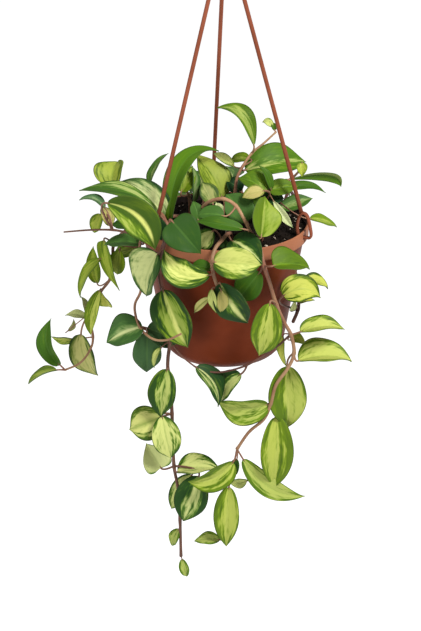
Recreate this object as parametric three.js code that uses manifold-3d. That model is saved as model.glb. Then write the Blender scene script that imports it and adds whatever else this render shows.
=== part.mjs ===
// A hoya in a hanging pot: a plastic pot with a one-piece, three-rod hanger, the soil in it, and the
// leafy stems that stand in the soil, arch over the rim and hang down round the pot.
import * as THREE from "three";
import { mergeVertices } from "three/addons/utils/BufferGeometryUtils.js";
import Module from "manifold-3d";

const wasm = await Module();
wasm.setup();

// Driving dimensions, in millimetres. Heights count from the top of the pot's rim; at the end the whole
// part is lowered, so that its origin is the top of the inside of the hook that it hangs by.
const GAP = 0.3;
const POT_SIDES = 36;
const RIM_RADIUS = 75;
const WALL = 2;
const LIP_HEIGHT = 12.5;
const LIP_STEP = 4;
const POT_HEIGHT = 122;
const FOOT_RADIUS = 55;
const FOOT_HEIGHT = 9;
const BASE_RADIUS = 46.5;
const DRAIN_HOLES = 6;
const DRAIN_RING = 29;
const DRAIN_RADIUS = 4.5;

const SOIL_SIDES = 22;
const SOIL_EDGE = -7;
const SOIL_MOUND = 2.6;
const SOIL_LUMP = 1.1;
const ROOT_DEPTH = 30;
const ROOT_TOP = -1;
const HOLE_CLEARANCE = 0.5;

const ROD_AZIMUTHS = [97.5, 217.5, 337.5];
const ROD_RADIUS = 1.8;
const ROD_AIM = { radius: 75, height: 6, apex: 252 };
const STRAP_WIDTH = 4.2;
const STRAP_THICKNESS = 2.2;
const LIP_HOLE = { inside: 71, outside: 77, bottom: -6.95, top: -4.15, width: 4.8 };
const HUB = { radius: 9.5, bottom: 224, top: 235 };
const HOOK = { wire: 2.4, loop: 13.4, centre: 263, end: 205 };
const HOOK_SEAT = HOOK.centre + HOOK.loop - HOOK.wire;

// Every stem and leaf is placed by where it shows in a picture of the plant, 421 pixels wide and 631
// high, and by how far it stands in front of the pot's upright axis ("near"). The picture's eye looks
// along +Y and down by the pitch.
const PICTURE = { width: 421, height: 631, focal: 1470.8 };
const EYE = new THREE.Vector3(-11.907, -1217.674, 455.27);
const PITCH = THREE.MathUtils.degToRad(24.2306);

// Leaves: a blade is a thin shell folded along its midrib, on a short stalk that is rooted in its stem.
const BLADE_THICKNESS = 1.1;
const BLADE_STATIONS = [0, 0.12, 0.35, 0.62, 0.85];
const NARROW_BLADE = 30;
const NARROW_STATIONS = [0, 0.18, 0.48, 0.8];
const SMALL_BLADE = 21;
const SMALL_STATIONS = [0, 0.3, 0.72];
const USUAL_PEAK = 0.43;
const STALK_RADIUS = 1;
const STALK_SECTION = [[-1, 0.4], [0, 0.9], [1, 0.4], [1, -0.4], [0, -0.9], [-1, -0.4]];
const USUAL_FOLD = 20;
const STEM_SIDES = 5;
const STEM_STRAIGHT = 0.9;

// The vines. "root" is where a stem stands in the soil (x, y); a stem with no root grows from the one
// before it in the same node. "thick" is the stem's thickness at its start and its end. "stem" lists
// picture x, picture y and near. A leaf grows from the stem point "at" and has its blade's base and tip
// in the picture, near at both, its width, and its form: "turn" rolls the blade about its length away
// from facing the eye, "fold" is how far each half rises from the midrib, both in degrees, and "bow",
// "sway" and "push" move the middle of the midrib outwards, sideways and along, the last as a share of
// the length. "peak" is the share of its length at which a blade is widest.
const VINES = [
  {
    "node": "vine_far_left",
    "root": [-38, 8],
    "thick": [3.4, 1.8],
    "stem": [[150, 222, 22], [128, 229, 16], [114, 244, 12], [113, 262, 10], [110, 279, 10],
      [100, 293, 8], [90, 313, 6], [93, 337, 8], [90, 350, 10], [80, 363, 14], [65, 370, 16]],
    "leaves": [
      {"at": 2, "base": [140, 249], "tip": [112, 257], "near": [12, 2], "wide": 24, "turn": 48,
       "fold": 15, "bow": 3},
      {"at": 3, "base": [120, 250], "tip": [117, 275], "near": [20, 14], "wide": 17, "turn": 20,
       "bow": 2},
      {"at": 2, "base": [104, 240], "tip": [119, 291], "near": [20, 24], "wide": 18, "turn": 52,
       "fold": 22, "bow": 2, "peak": 0.25},
      {"at": 4, "base": [97, 283], "tip": [93, 246], "near": [-6, -12], "wide": 14, "turn": -20,
       "fold": 18, "bow": 4},
      {"at": 3, "base": [100, 259], "tip": [80, 298], "near": [20, 14], "wide": 15, "turn": 56,
       "fold": 16, "bow": 2, "sway": 3},
      {"at": 5, "base": [100, 290], "tip": [91, 336], "near": [16, 16], "wide": 13, "turn": 10,
       "fold": 22, "bow": 3, "sway": 3},
      {"at": 5, "base": [101, 291], "tip": [109, 307], "near": [2, -8], "wide": 14, "turn": 40,
       "bow": 1, "peak": 0.7},
      {"at": 6, "base": [86, 318], "tip": [65, 315], "near": [2, -6], "wide": 13, "turn": 55,
       "fold": 15, "bow": 2},
      {"at": 6, "base": [86, 316], "tip": [81, 296], "near": [-2, -8], "wide": 10, "turn": 55,
       "fold": 15, "bow": 2},
      {"at": 6, "base": [81, 334], "tip": [98, 376], "near": [-2, -6], "wide": 27, "turn": 36,
       "fold": 16, "bow": 4, "sway": 3, "peak": 0.4},
      {"at": 7, "base": [73, 339], "tip": [51, 337], "near": [-6, -16], "wide": 13, "turn": -58,
       "bow": 1},
      {"at": 6, "base": [68, 331], "tip": [74, 319], "near": [-8, -13], "wide": 7, "turn": 50,
       "fold": 16, "bow": 2},
      {"at": 10, "base": [60, 365], "tip": [51, 318], "near": [14, 4], "wide": 20, "turn": -40,
       "bow": 5, "sway": -5, "peak": 0.42},
      {"at": 10, "base": [57, 370], "tip": [28, 384], "near": [20, 26], "wide": 18, "turn": 68,
       "fold": 22, "bow": 2.5},
    ],
  },
  {
    "node": "vine_runner",
    "root": [-28, -34],
    "thick": [3.2, 1.4],
    "stem": [[172, 231, 58], [158, 231, 56], [133, 233, 50], [113, 230, 46], [90, 230, 42],
      [64, 232, 38]],
    "leaves": [
      {"at": 3, "base": [107, 203], "tip": [155, 250], "near": [62, 74], "wide": 33, "turn": 16,
       "bow": 6, "sway": -12, "peak": 0.52},
      {"at": 3, "base": [110, 226], "tip": [101, 206], "near": [34, 24], "wide": 13, "turn": 25,
       "bow": 3},
      {"at": 3, "base": [105, 208], "tip": [79, 200], "near": [36, 30], "wide": 13, "turn": 60,
       "fold": 18, "bow": 4, "sway": 1},
      {"at": 3, "base": [101, 214], "tip": [94, 233], "near": [26, 24], "wide": 13, "turn": 25,
       "fold": 18, "bow": 2},
      {"at": 2, "base": [141, 244], "tip": [104, 245], "near": [38, 30], "wide": 23, "turn": 58,
       "fold": 12, "bow": 3},
      {"at": 2, "base": [131, 229], "tip": [111, 225], "near": [36, 30], "wide": 15, "turn": 52,
       "fold": 14, "bow": 2},
      {"at": 0, "base": [163, 240], "tip": [158, 216], "near": [66, 60], "wide": 13, "bow": 1},
    ],
  },
  {
    "node": "vine_left",
    "root": [-46, -22],
    "thick": [3.2, 2.2],
    "stem": [[168, 226, 38], [163, 216, 30], [154, 205, 14], [144, 196, 4], [132, 190, -6],
      [120, 183, -10]],
    "leaves": [
      {"at": 0, "base": [161, 216], "tip": [79, 190], "near": [34, 16], "wide": 21, "turn": 52,
       "fold": 10, "bow": 13, "push": -0.1, "peak": 0.6},
      {"at": 0, "base": [168, 225], "tip": [121, 181], "near": [24, 8], "wide": 25, "turn": 12,
       "fold": 16, "bow": 12, "sway": 5},
      {"at": 1, "base": [169, 222], "tip": [219, 151], "near": [28, -8], "wide": 22, "turn": -40,
       "fold": 16, "bow": 20, "sway": -6, "push": 0.2},
      {"at": 1, "base": [170, 220], "tip": [171, 181], "near": [16, 4], "wide": 16, "turn": -40,
       "bow": 4},
      {"at": 3, "base": [150, 184], "tip": [168, 153], "near": [-18, -40], "wide": 15, "turn": -66,
       "bow": 3},
      {"at": 5, "base": [113, 186], "tip": [118, 162], "near": [-8, -26], "wide": 33, "turn": -30,
       "fold": 35, "bow": 5},
    ],
  },
  {
    "node": "vine_loop",
    "root": [-54, -16],
    "thick": [3.0, 1.8],
    "stem": [[148, 228, 34], [141, 239, 40], [139, 262, 44], [141, 289, 48], [135, 304, 50],
      [136, 317, 54], [141, 329, 60], [153, 339, 72], [167, 340, 80], [181, 334, 84]],
    "leaves": [
      {"at": 6, "base": [143, 327], "tip": [107, 343], "near": [58, 58], "wide": 33, "turn": 34,
       "fold": 18, "bow": 4},
      {"at": 6, "base": [147, 332], "tip": [147, 372], "near": [55, 46], "wide": 26, "fold": 12,
       "bow": 4},
      {"at": 6, "base": [147, 328], "tip": [178, 343], "near": [50, 41], "wide": 26, "turn": -20,
       "fold": 14, "bow": 3},
    ],
  },
  {
    "node": "vine_hang",
    "root": [-34, -48],
    "thick": [3.8, 2.8],
    "stem": [[168, 240, 66], [163, 247, 61], [160, 262, 57], [160, 277, 55], [163, 292, 58],
      [170, 315, 56], [170, 341, 58], [168, 358, 56], [168, 371, 54], [171, 390, 50], [172, 414, 48],
      [173, 436, 44], [174, 466, 42], [178, 489, 40], [180, 520, 40], [181, 556, 40]],
    "leaves": [
      {"at": 1, "base": [158, 254], "tip": [147, 296], "near": [65, 58], "wide": 45, "turn": 51,
       "bow": 4, "sway": 1, "peak": 0.38},
      {"at": 4, "base": [163, 290], "tip": [188, 348], "near": [68, 66], "wide": 36, "turn": 24,
       "fold": 16, "bow": 4, "peak": 0.4},
      {"at": 6, "base": [161, 348], "tip": [154, 368], "near": [63, 60], "wide": 9, "turn": 55, "bow": 2},
      {"at": 8, "base": [167, 369], "tip": [161, 417], "near": [58, 56], "wide": 26, "turn": 8,
       "fold": 14, "bow": 4, "sway": 1},
      {"at": 10, "base": [161, 417], "tip": [129, 430], "near": [46, 46], "wide": 33, "fold": 12,
       "bow": 4},
      {"at": 10, "base": [162, 416], "tip": [171, 459], "near": [54, 56], "wide": 27, "fold": 14,
       "bow": 4},
      {"at": 12, "base": [161, 468], "tip": [146, 443], "near": [40, 34], "wide": 28, "fold": 22,
       "bow": 3, "peak": 0.3},
      {"at": 12, "base": [177, 472], "tip": [220, 469], "near": [44, 46], "wide": 32, "turn": -50,
       "fold": 25, "bow": 3},
      {"at": 12, "base": [192, 475], "tip": [171, 509], "near": [34, 28], "wide": 21, "turn": 20,
       "fold": 16, "bow": 3},
      {"at": 12, "base": [199, 476], "tip": [183, 521], "near": [50, 54], "wide": 32, "fold": 14,
       "bow": 4},
      {"at": 14, "base": [179, 529], "tip": [172, 546], "near": [38, 34], "wide": 12, "turn": 30,
       "fold": 16, "bow": 2},
      {"at": 15, "base": [182, 559], "tip": [187, 577], "near": [40, 40], "wide": 10, "turn": 10,
       "fold": 16, "bow": 2},
    ],
  },
  {
    "node": "vine_centre",
    "root": [-22, -44],
    "thick": [3.2, 2.6],
    "stem": [[182, 236, 66], [178, 232, 66], [173, 228, 68]],
    "leaves": [
      {"at": 2, "base": [172, 221], "tip": [201, 254], "near": [82, 92], "wide": 32, "fold": 10,
       "bow": 4, "peak": 0.3},
    ],
  },
  {
    "node": "vine_front",
    "root": [6, -40],
    "thick": [3.4, 3.0],
    "stem": [[228, 234, 58], [222, 240, 68], [215, 249, 78], [212, 263, 84], [214, 276, 84],
      [218, 288, 82]],
    "leaves": [
      {"at": 1, "base": [213, 231], "tip": [201, 249], "near": [63, 62], "wide": 18, "turn": 20,
       "bow": 3},
      {"at": 1, "base": [222, 239], "tip": [227, 250], "near": [60, 64], "wide": 9, "turn": 20, "bow": 1},
      {"at": 3, "base": [210, 275], "tip": [164, 249], "near": [90, 78], "wide": 25, "turn": 8,
       "fold": 15, "bow": 3, "sway": -11.5, "peak": 0.5},
      {"at": 3, "base": [211, 270], "tip": [190, 267], "near": [82, 76], "wide": 13, "turn": 40,
       "fold": 16, "bow": 3},
      {"at": 3, "base": [214, 262], "tip": [262, 265], "near": [92, 92], "wide": 28, "fold": 16,
       "bow": 8},
      {"at": 0, "base": [232, 241], "tip": [263, 264], "near": [60, 84], "wide": 28, "turn": -20,
       "fold": 16, "bow": 6},
      {"at": 5, "base": [220, 283], "tip": [248, 323], "near": [84, 74], "wide": 29, "turn": 25,
       "fold": 14, "bow": 5},
      {"at": 5, "base": [212, 289], "tip": [216, 313], "near": [86, 82], "wide": 9, "turn": 30, "bow": 1},
      {"at": 5, "base": [221, 290], "tip": [221, 313], "near": [88, 84], "wide": 11, "turn": -20,
       "bow": 2},
      {"at": 5, "base": [210, 298], "tip": [194, 313], "near": [82, 74], "wide": 8, "turn": 30, "bow": 2},
    ],
  },
  {
    "node": "vine_right",
    "root": [32, -36],
    "thick": [3.6, 2.8],
    "stem": [[256, 240, 60], [260, 249, 74], [264, 266, 80], [270, 284, 78], [276, 304, 76],
      [284, 322, 74], [291, 335, 72], [294, 353, 70], [288, 368, 68], [276, 385, 66], [271, 403, 64],
      [264, 419, 62], [249, 432, 60], [237, 449, 58]],
    "leaves": [
      {"at": 2, "base": [273, 266], "tip": [310, 269], "near": [86, 70], "wide": 30, "turn": -48,
       "fold": 28, "bow": 4, "peak": 0.27},
      {"at": 1, "base": [260, 272], "tip": [239, 300], "near": [76, 70], "wide": 25, "turn": 10,
       "fold": 14, "bow": 3},
      {"at": 4, "base": [270, 303], "tip": [259, 356], "near": [86, 76], "wide": 27, "fold": 12,
       "bow": 5, "sway": -2},
      {"at": 6, "base": [300, 332], "tip": [345, 329], "near": [72, 64], "wide": 23, "turn": -50,
       "fold": 28, "bow": 4},
      {"at": 7, "base": [298, 361], "tip": [352, 361], "near": [70, 62], "wide": 37, "turn": -52,
       "fold": 28, "bow": 5},
      {"at": 6, "base": [290, 340], "tip": [305, 343], "near": [64, 58], "wide": 12, "turn": -40,
       "bow": 3},
      {"at": 6, "base": [283, 336], "tip": [286, 366], "near": [64, 60], "wide": 12, "turn": 55,
       "bow": 2},
      {"at": 7, "base": [287, 366], "tip": [288, 427], "near": [58, 54], "wide": 35, "fold": 14,
       "bow": 6},
      {"at": 10, "base": [268, 404], "tip": [217, 401], "near": [62, 58], "wide": 31, "turn": -38,
       "fold": 25, "bow": 4, "sway": -3},
      {"at": 10, "base": [277, 416], "tip": [273, 488], "near": [58, 54], "wide": 31, "fold": 16,
       "bow": 6, "sway": -2},
      {"at": 13, "base": [243, 459], "tip": [305, 496], "near": [54, 46], "wide": 20, "turn": 8,
       "fold": 16, "bow": 4, "sway": 9},
      {"at": 13, "base": [237, 459], "tip": [233, 477], "near": [56, 56], "wide": 11, "turn": 20,
       "fold": 22, "bow": 1},
      {"at": 13, "base": [233, 462], "tip": [188, 482], "near": [58, 66], "wide": 29, "turn": -40,
       "bow": 3, "sway": -4},
    ],
  },
  {
    "node": "vine_right",
    "thick": [2.0, 1.2],
    "stem": [[237, 449, 58], [234, 464, 53], [230, 480, 48], [228, 500, 46], [224, 526, 46]],
    "leaves": [
      {"at": 2, "base": [247, 481], "tip": [229, 482], "near": [48, 50], "wide": 12, "turn": -40,
       "bow": 1},
      {"at": 2, "base": [229, 487], "tip": [226, 547], "near": [53, 53], "wide": 25, "turn": 10,
       "fold": 14, "bow": 4},
      {"at": 4, "base": [220, 540], "tip": [194, 541], "near": [48, 44], "wide": 16, "turn": 40,
       "fold": 14, "bow": 2},
    ],
  },
  {
    "node": "vine_right",
    "thick": [2.0, 1.4],
    "stem": [[290, 335, 72], [275, 348, 64], [247, 365, 62], [222, 372, 62], [205, 371, 62],
      [197, 368, 61], [183, 357, 61], [173, 345, 64]],
    "leaves": [
      {"at": 5, "base": [196, 367], "tip": [218, 407], "near": [64, 64], "wide": 24, "turn": -45,
       "fold": 16, "bow": 5, "sway": -3},
      {"at": 2, "base": [241, 374], "tip": [221, 403], "near": [60, 54], "wide": 23, "turn": 40,
       "fold": 16, "bow": 4, "sway": 2},
    ],
  },
  {
    "node": "vine_side",
    "root": [50, 14],
    "thick": [2.8, 3.2],
    "stem": [[285, 200, -28], [289, 191, -41], [293, 196, -49], [293, 212, -50], [293, 235, -46],
      [294, 258, -38], [296, 276, -22], [299, 292, 2], [298, 309, 24], [293, 322, 30]],
    "leaves": [
      {"at": 8, "base": [283, 296], "tip": [321, 298], "near": [50, 44], "wide": 27, "turn": -20,
       "bow": 3, "sway": -6, "peak": 0.36},
      {"at": 7, "base": [303, 282], "tip": [328, 289], "near": [4, -2], "wide": 16, "turn": -50,
       "bow": 3, "sway": -2},
      {"at": 8, "base": [300, 303], "tip": [315, 300], "near": [32, 28], "wide": 9, "turn": -58,
       "bow": 1},
      {"at": 8, "base": [291, 311], "tip": [295, 300], "near": [32, 40], "wide": 6, "turn": 30, "bow": 1},
    ],
  },
  {
    "node": "vine_upright",
    "root": [10, 2],
    "thick": [3.8, 1.6],
    "stem": [[235, 205, 6], [235, 193, 6], [237, 178, 4], [243, 166, 2], [252, 153, 0], [264, 143, -4],
      [276, 132, -6]],
    "leaves": [
      {"at": 4, "base": [254, 146], "tip": [217, 108], "near": [4, -10], "wide": 22, "turn": 50,
       "fold": 22, "bow": 13, "push": 0.14, "peak": 0.5},
      {"at": 6, "base": [272, 127], "tip": [262, 122], "near": [-6, -10], "wide": 7, "turn": 20,
       "bow": 1, "sway": 2},
      {"at": 3, "base": [234, 166], "tip": [213, 153], "near": [-10, -22], "wide": 9, "turn": 20,
       "bow": 3},
      {"at": 3, "base": [245, 170], "tip": [306, 162], "near": [-8, -30], "wide": 33, "turn": -30,
       "bow": 8},
      {"at": 3, "base": [250, 159], "tip": [230, 161], "near": [-11, -20], "wide": 12, "turn": 40,
       "bow": 2},
      {"at": 0, "base": [222, 198], "tip": [196, 155], "near": [-2, -20], "wide": 31, "turn": 33,
       "fold": 12, "bow": 6, "peak": 0.36},
      {"at": 1, "base": [240, 192], "tip": [226, 180], "near": [-6, -10], "wide": 18, "turn": 30,
       "bow": 2},
      {"at": 6, "base": [275, 130], "tip": [273, 122], "near": [-6, -8], "wide": 5, "bow": 1},
    ],
  },
  {
    "node": "vine_arch",
    "root": [-24, -8],
    "thick": [3.6, 2.8],
    "stem": [[199, 216, 20], [203, 207, 30], [211, 201, 40], [224, 199, 48], [236, 206, 54],
      [245, 221, 60], [250, 231, 64]],
    "leaves": [
      {"at": 6, "base": [243, 229], "tip": [194, 221], "near": [74, 68], "wide": 13.5, "turn": 34,
       "bow": 4, "sway": -1.5},
      {"at": 6, "base": [261, 237], "tip": [265, 196], "near": [68, 46], "wide": 33, "turn": 40,
       "bow": 5, "sway": -3},
      {"at": 0, "base": [213, 204], "tip": [202, 182], "near": [18, 8], "wide": 18, "turn": 20,
       "fold": 16, "bow": 2},
      {"at": 0, "base": [198, 220], "tip": [193, 201], "near": [34, 26], "wide": 13, "turn": 20,
       "fold": 16, "bow": 2},
      {"at": 4, "base": [247, 222], "tip": [226, 194], "near": [38, 24], "wide": 28, "turn": 20,
       "fold": 16, "bow": 3},
      {"at": 3, "base": [222, 216], "tip": [216, 202], "near": [44, 36], "wide": 9, "fold": 16, "bow": 1},
      {"at": 4, "base": [224, 216], "tip": [197, 215], "near": [62, 58], "wide": 17, "turn": 36,
       "fold": 14, "bow": 2},
    ],
  },
  {
    "node": "vine_crown",
    "root": [-30, 16],
    "thick": [3.2, 2.2],
    "stem": [[189, 196, 4], [184, 188, -6], [182, 180, -12]],
    "leaves": [
      {"at": 0, "base": [181, 192], "tip": [193, 166], "near": [14, 0], "wide": 19, "turn": -15,
       "fold": 18, "bow": 2, "peak": 0.38},
      {"at": 0, "base": [193, 203], "tip": [192, 165], "near": [10, 10], "wide": 15, "turn": 62,
       "fold": 18, "bow": 2},
    ],
  },
  {
    "node": "vine_far_right",
    "root": [30, 6],
    "thick": [3.4, 2.0],
    "stem": [[262, 205, 8], [269, 192, 4], [280, 184, 0], [292, 178, -2], [302, 168, -2]],
    "leaves": [
      {"at": 4, "base": [302, 163], "tip": [302, 177], "near": [0, 4], "wide": 10, "fold": 18, "bow": 1,
       "peak": 0.3},
      {"at": 3, "base": [289, 180], "tip": [341, 187], "near": [-14, -34], "wide": 13, "turn": 48,
       "bow": 2, "sway": -10.5, "push": 0.34, "peak": 0.55},
      {"at": 2, "base": [284, 190], "tip": [326, 192.5], "near": [-2, -14], "wide": 12, "turn": -50,
       "bow": 3, "sway": -2, "peak": 0.4},
      {"at": 1, "base": [280, 209], "tip": [313, 198], "near": [6, -4], "wide": 16, "turn": -30,
       "fold": 16, "bow": 1},
      {"at": 1, "base": [310, 219], "tip": [337, 227], "near": [15, 0], "wide": 14, "turn": -56,
       "fold": 16, "bow": 2},
      {"at": 1, "base": [273, 200], "tip": [293, 228], "near": [26, 38], "wide": 8, "turn": 10,
       "fold": 16, "bow": 3, "peak": 0.55},
      {"at": 0, "base": [264, 200], "tip": [284, 198], "near": [10, 6], "wide": 24, "turn": -45,
       "fold": 18, "bow": 2},
      {"at": 2, "base": [271, 190], "tip": [259, 165], "near": [16, 12], "wide": 9, "turn": 40,
       "fold": 18, "bow": 2, "sway": 1},
      {"at": 1, "base": [267, 191], "tip": [238, 178], "near": [18, 10], "wide": 28, "turn": 45,
       "fold": 18, "bow": 3},
      {"at": 0, "base": [264, 191], "tip": [242, 198], "near": [33, 35], "wide": 14, "turn": 30,
       "fold": 18, "bow": 2},
      {"at": 0, "base": [262, 203], "tip": [240, 202], "near": [20, 14], "wide": 17, "turn": 50,
       "fold": 18, "bow": 2},
      {"at": 0, "base": [265, 213], "tip": [246, 208], "near": [24, 18], "wide": 18, "turn": 40,
       "fold": 16, "bow": 2},
      {"at": 2, "base": [269, 190], "tip": [299, 186], "near": [15, 7], "wide": 16, "turn": -20,
       "fold": 16, "bow": 2, "peak": 0.32},
    ],
  },
  {
    "node": "vine_back_left",
    "root": [-18, 36],
    "thick": [3.2, 1.8],
    "stem": [[205, 190, -52], [204, 183, -70], [200, 200, -88], [196, 226, -92], [200, 262, -90],
      [198, 296, -88], [203, 330, -86]],
    "leaves": [
      {"at": 0, "base": [200, 186], "tip": [193, 170], "near": [-54, -72], "wide": 26, "turn": 170,
       "fold": 16, "bow": 4},
      {"at": 1, "base": [196, 194], "tip": [178, 214], "near": [-88, -104], "wide": 24, "turn": 130,
       "fold": 18, "bow": 5},
      {"at": 3, "base": [191, 228], "tip": [166, 250], "near": [-96, -102], "wide": 27, "turn": 180,
       "fold": 16, "bow": 5},
      {"at": 3, "base": [201, 230], "tip": [216, 268], "near": [-98, -106], "wide": 26, "turn": 175,
       "fold": 16, "bow": 5},
      {"at": 4, "base": [195, 265], "tip": [177, 304], "near": [-94, -98], "wide": 28, "turn": 185,
       "fold": 16, "bow": 5},
      {"at": 5, "base": [202, 299], "tip": [220, 336], "near": [-94, -98], "wide": 25, "turn": 170,
       "fold": 16, "bow": 5},
      {"at": 5, "base": [194, 300], "tip": [184, 338], "near": [-90, -92], "wide": 22, "turn": 190,
       "fold": 16, "bow": 5},
      {"at": 6, "base": [204, 334], "tip": [208, 360], "near": [-88, -86], "wide": 17, "turn": 180,
       "fold": 16, "bow": 3},
    ],
  },
  {
    "node": "vine_back_mid",
    "root": [14, 40],
    "thick": [3.2, 1.6],
    "stem": [[236, 188, -54], [240, 181, -72], [242, 198, -92], [240, 232, -98], [246, 270, -96],
      [242, 306, -90]],
    "leaves": [
      {"at": 0, "base": [232, 180], "tip": [226, 166], "near": [-64, -86], "wide": 24, "turn": 160,
       "fold": 16, "bow": 4},
      {"at": 1, "base": [246, 182], "tip": [262, 190], "near": [-88, -112], "wide": 24, "turn": 215,
       "fold": 18, "bow": 5},
      {"at": 3, "base": [236, 236], "tip": [226, 276], "near": [-102, -110], "wide": 27, "turn": 180,
       "fold": 16, "bow": 5},
      {"at": 3, "base": [245, 236], "tip": [268, 264], "near": [-102, -104], "wide": 27, "turn": 180,
       "fold": 16, "bow": 5},
      {"at": 4, "base": [242, 273], "tip": [230, 312], "near": [-100, -102], "wide": 24, "turn": 185,
       "fold": 16, "bow": 5},
      {"at": 4, "base": [250, 273], "tip": [264, 310], "near": [-98, -98], "wide": 25, "turn": 175,
       "fold": 16, "bow": 5},
      {"at": 5, "base": [243, 310], "tip": [246, 338], "near": [-92, -90], "wide": 18, "turn": 180,
       "fold": 16, "bow": 3},
    ],
  },
  {
    "node": "vine_back_right",
    "root": [40, 28],
    "thick": [3.2, 1.8],
    "stem": [[264, 192, -42], [272, 187, -58], [278, 200, -74], [280, 228, -80], [276, 262, -78],
      [272, 292, -74]],
    "leaves": [
      {"at": 0, "base": [258, 184], "tip": [252, 170], "near": [-52, -78], "wide": 24, "turn": 160,
       "fold": 16, "bow": 4},
      {"at": 1, "base": [276, 188], "tip": [290, 196], "near": [-72, -90], "wide": 22, "turn": 215,
       "fold": 18, "bow": 5},
      {"at": 3, "base": [284, 232], "tip": [292, 262], "near": [-84, -84], "wide": 20, "turn": 175,
       "fold": 16, "bow": 4},
      {"at": 4, "base": [272, 266], "tip": [262, 302], "near": [-86, -88], "wide": 24, "turn": 185,
       "fold": 16, "bow": 5},
      {"at": 4, "base": [279, 266], "tip": [284, 296], "near": [-82, -80], "wide": 18, "turn": 175,
       "fold": 16, "bow": 4},
      {"at": 5, "base": [272, 296], "tip": [270, 322], "near": [-76, -74], "wide": 17, "turn": 180,
       "fold": 16, "bow": 3},
    ],
  },
];

// Solids and meshes

// A closed mesh through rings of equally many points, with flat ends or with a tip beyond the last ring.
function loft(rings, tip) {
  const sides = rings[0].length;
  const points = rings.flat();
  const faces = [];
  for (let k = 0; k < rings.length - 1; k++) {
    for (let i = 0; i < sides; i++) {
      const j = (i + 1) % sides;
      const [a, b] = [k * sides + i, k * sides + j];
      const [c, d] = [(k + 1) * sides + j, (k + 1) * sides + i];
      faces.push([a, b, c], [a, c, d]);
    }
  }
  for (let i = 1; i < sides - 1; i++) faces.push([0, i + 1, i]);
  const last = (rings.length - 1) * sides;
  if (tip) {
    points.push(tip);
    for (let i = 0; i < sides; i++) faces.push([last + i, last + ((i + 1) % sides), points.length - 1]);
  } else {
    for (let i = 1; i < sides - 1; i++) faces.push([last, last + i, last + i + 1]);
  }
  const geometry = new THREE.BufferGeometry().setFromPoints(points);
  geometry.setIndex(faces.flat());
  return geometry;
}

// The geometry as a solid, turned right side out.
function solid(geometry) {
  const bare = new THREE.BufferGeometry();
  bare.setAttribute("position", geometry.getAttribute("position"));
  bare.setIndex(geometry.index);
  const merged = mergeVertices(bare, 1e-4);
  const vertProperties = merged.attributes.position.array;
  let triVerts = new Uint32Array(merged.index.array);
  if (signedVolume(vertProperties, triVerts) < 0) triVerts = triVerts.reverse();
  return new wasm.Manifold(new wasm.Mesh({ numProp: 3, vertProperties, triVerts }));
}

function signedVolume(points, triangles) {
  const corner = (n) => new THREE.Vector3().fromArray(points, triangles[n] * 3);
  let six = 0;
  for (let n = 0; n < triangles.length; n += 3) {
    six += corner(n).dot(corner(n + 1).cross(corner(n + 2)));
  }
  return six / 6;
}

// The solids as one body. A hollow that the joining seals is filled.
function joined(solids) {
  const whole = solids.reduce((sum, one) => sum.add(one));
  return wasm.Manifold.compose(whole.decompose().filter((body) => body.volume() > 0));
}

function meshOf(name, body, color, roughness) {
  const { vertProperties, triVerts } = body.getMesh();
  const geometry = new THREE.BufferGeometry();
  geometry.setAttribute("position", new THREE.BufferAttribute(vertProperties, 3));
  geometry.setIndex(new THREE.BufferAttribute(triVerts, 1));
  geometry.computeVertexNormals();
  const material = new THREE.MeshStandardMaterial({ color, roughness, metalness: 0 });
  const mesh = new THREE.Mesh(geometry, material);
  mesh.name = name;
  return mesh;
}

function circle(radius, height, sides) {
  const ring = [];
  for (let i = 0; i < sides; i++) {
    const angle = (2 * Math.PI * i) / sides;
    ring.push(new THREE.Vector3(radius * Math.cos(angle), radius * Math.sin(angle), height));
  }
  return ring;
}

// A round bar through points in space, with a radius at each.
function tube(points, radii, sides) {
  const last = points.length - 1;
  const side = new THREE.Vector3(0.93, 0.31, 0.2);
  const rings = points.map((point, i) => {
    const along = points[Math.min(i + 1, last)].clone().sub(points[Math.max(i - 1, 0)]).normalize();
    side.addScaledVector(along, -side.dot(along)).normalize();
    const up = along.clone().cross(side);
    return Array.from({ length: sides }, (_, k) => {
      const angle = (2 * Math.PI * k) / sides;
      return point
        .clone()
        .addScaledVector(side, radii[i] * Math.cos(angle))
        .addScaledVector(up, radii[i] * Math.sin(angle));
    });
  });
  return solid(loft(rings));
}

// The pot: one thin wall with a stepped lip, a rounded foot, drain holes in its base and, in its lip, a slot
// for the toe of each strap
function potInnerRadius(height) {
  const top = -LIP_HEIGHT;
  const foot = -POT_HEIGHT + FOOT_HEIGHT;
  return THREE.MathUtils.mapLinear(height, top, foot, RIM_RADIUS - LIP_STEP, FOOT_RADIUS) - WALL;
}

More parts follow.
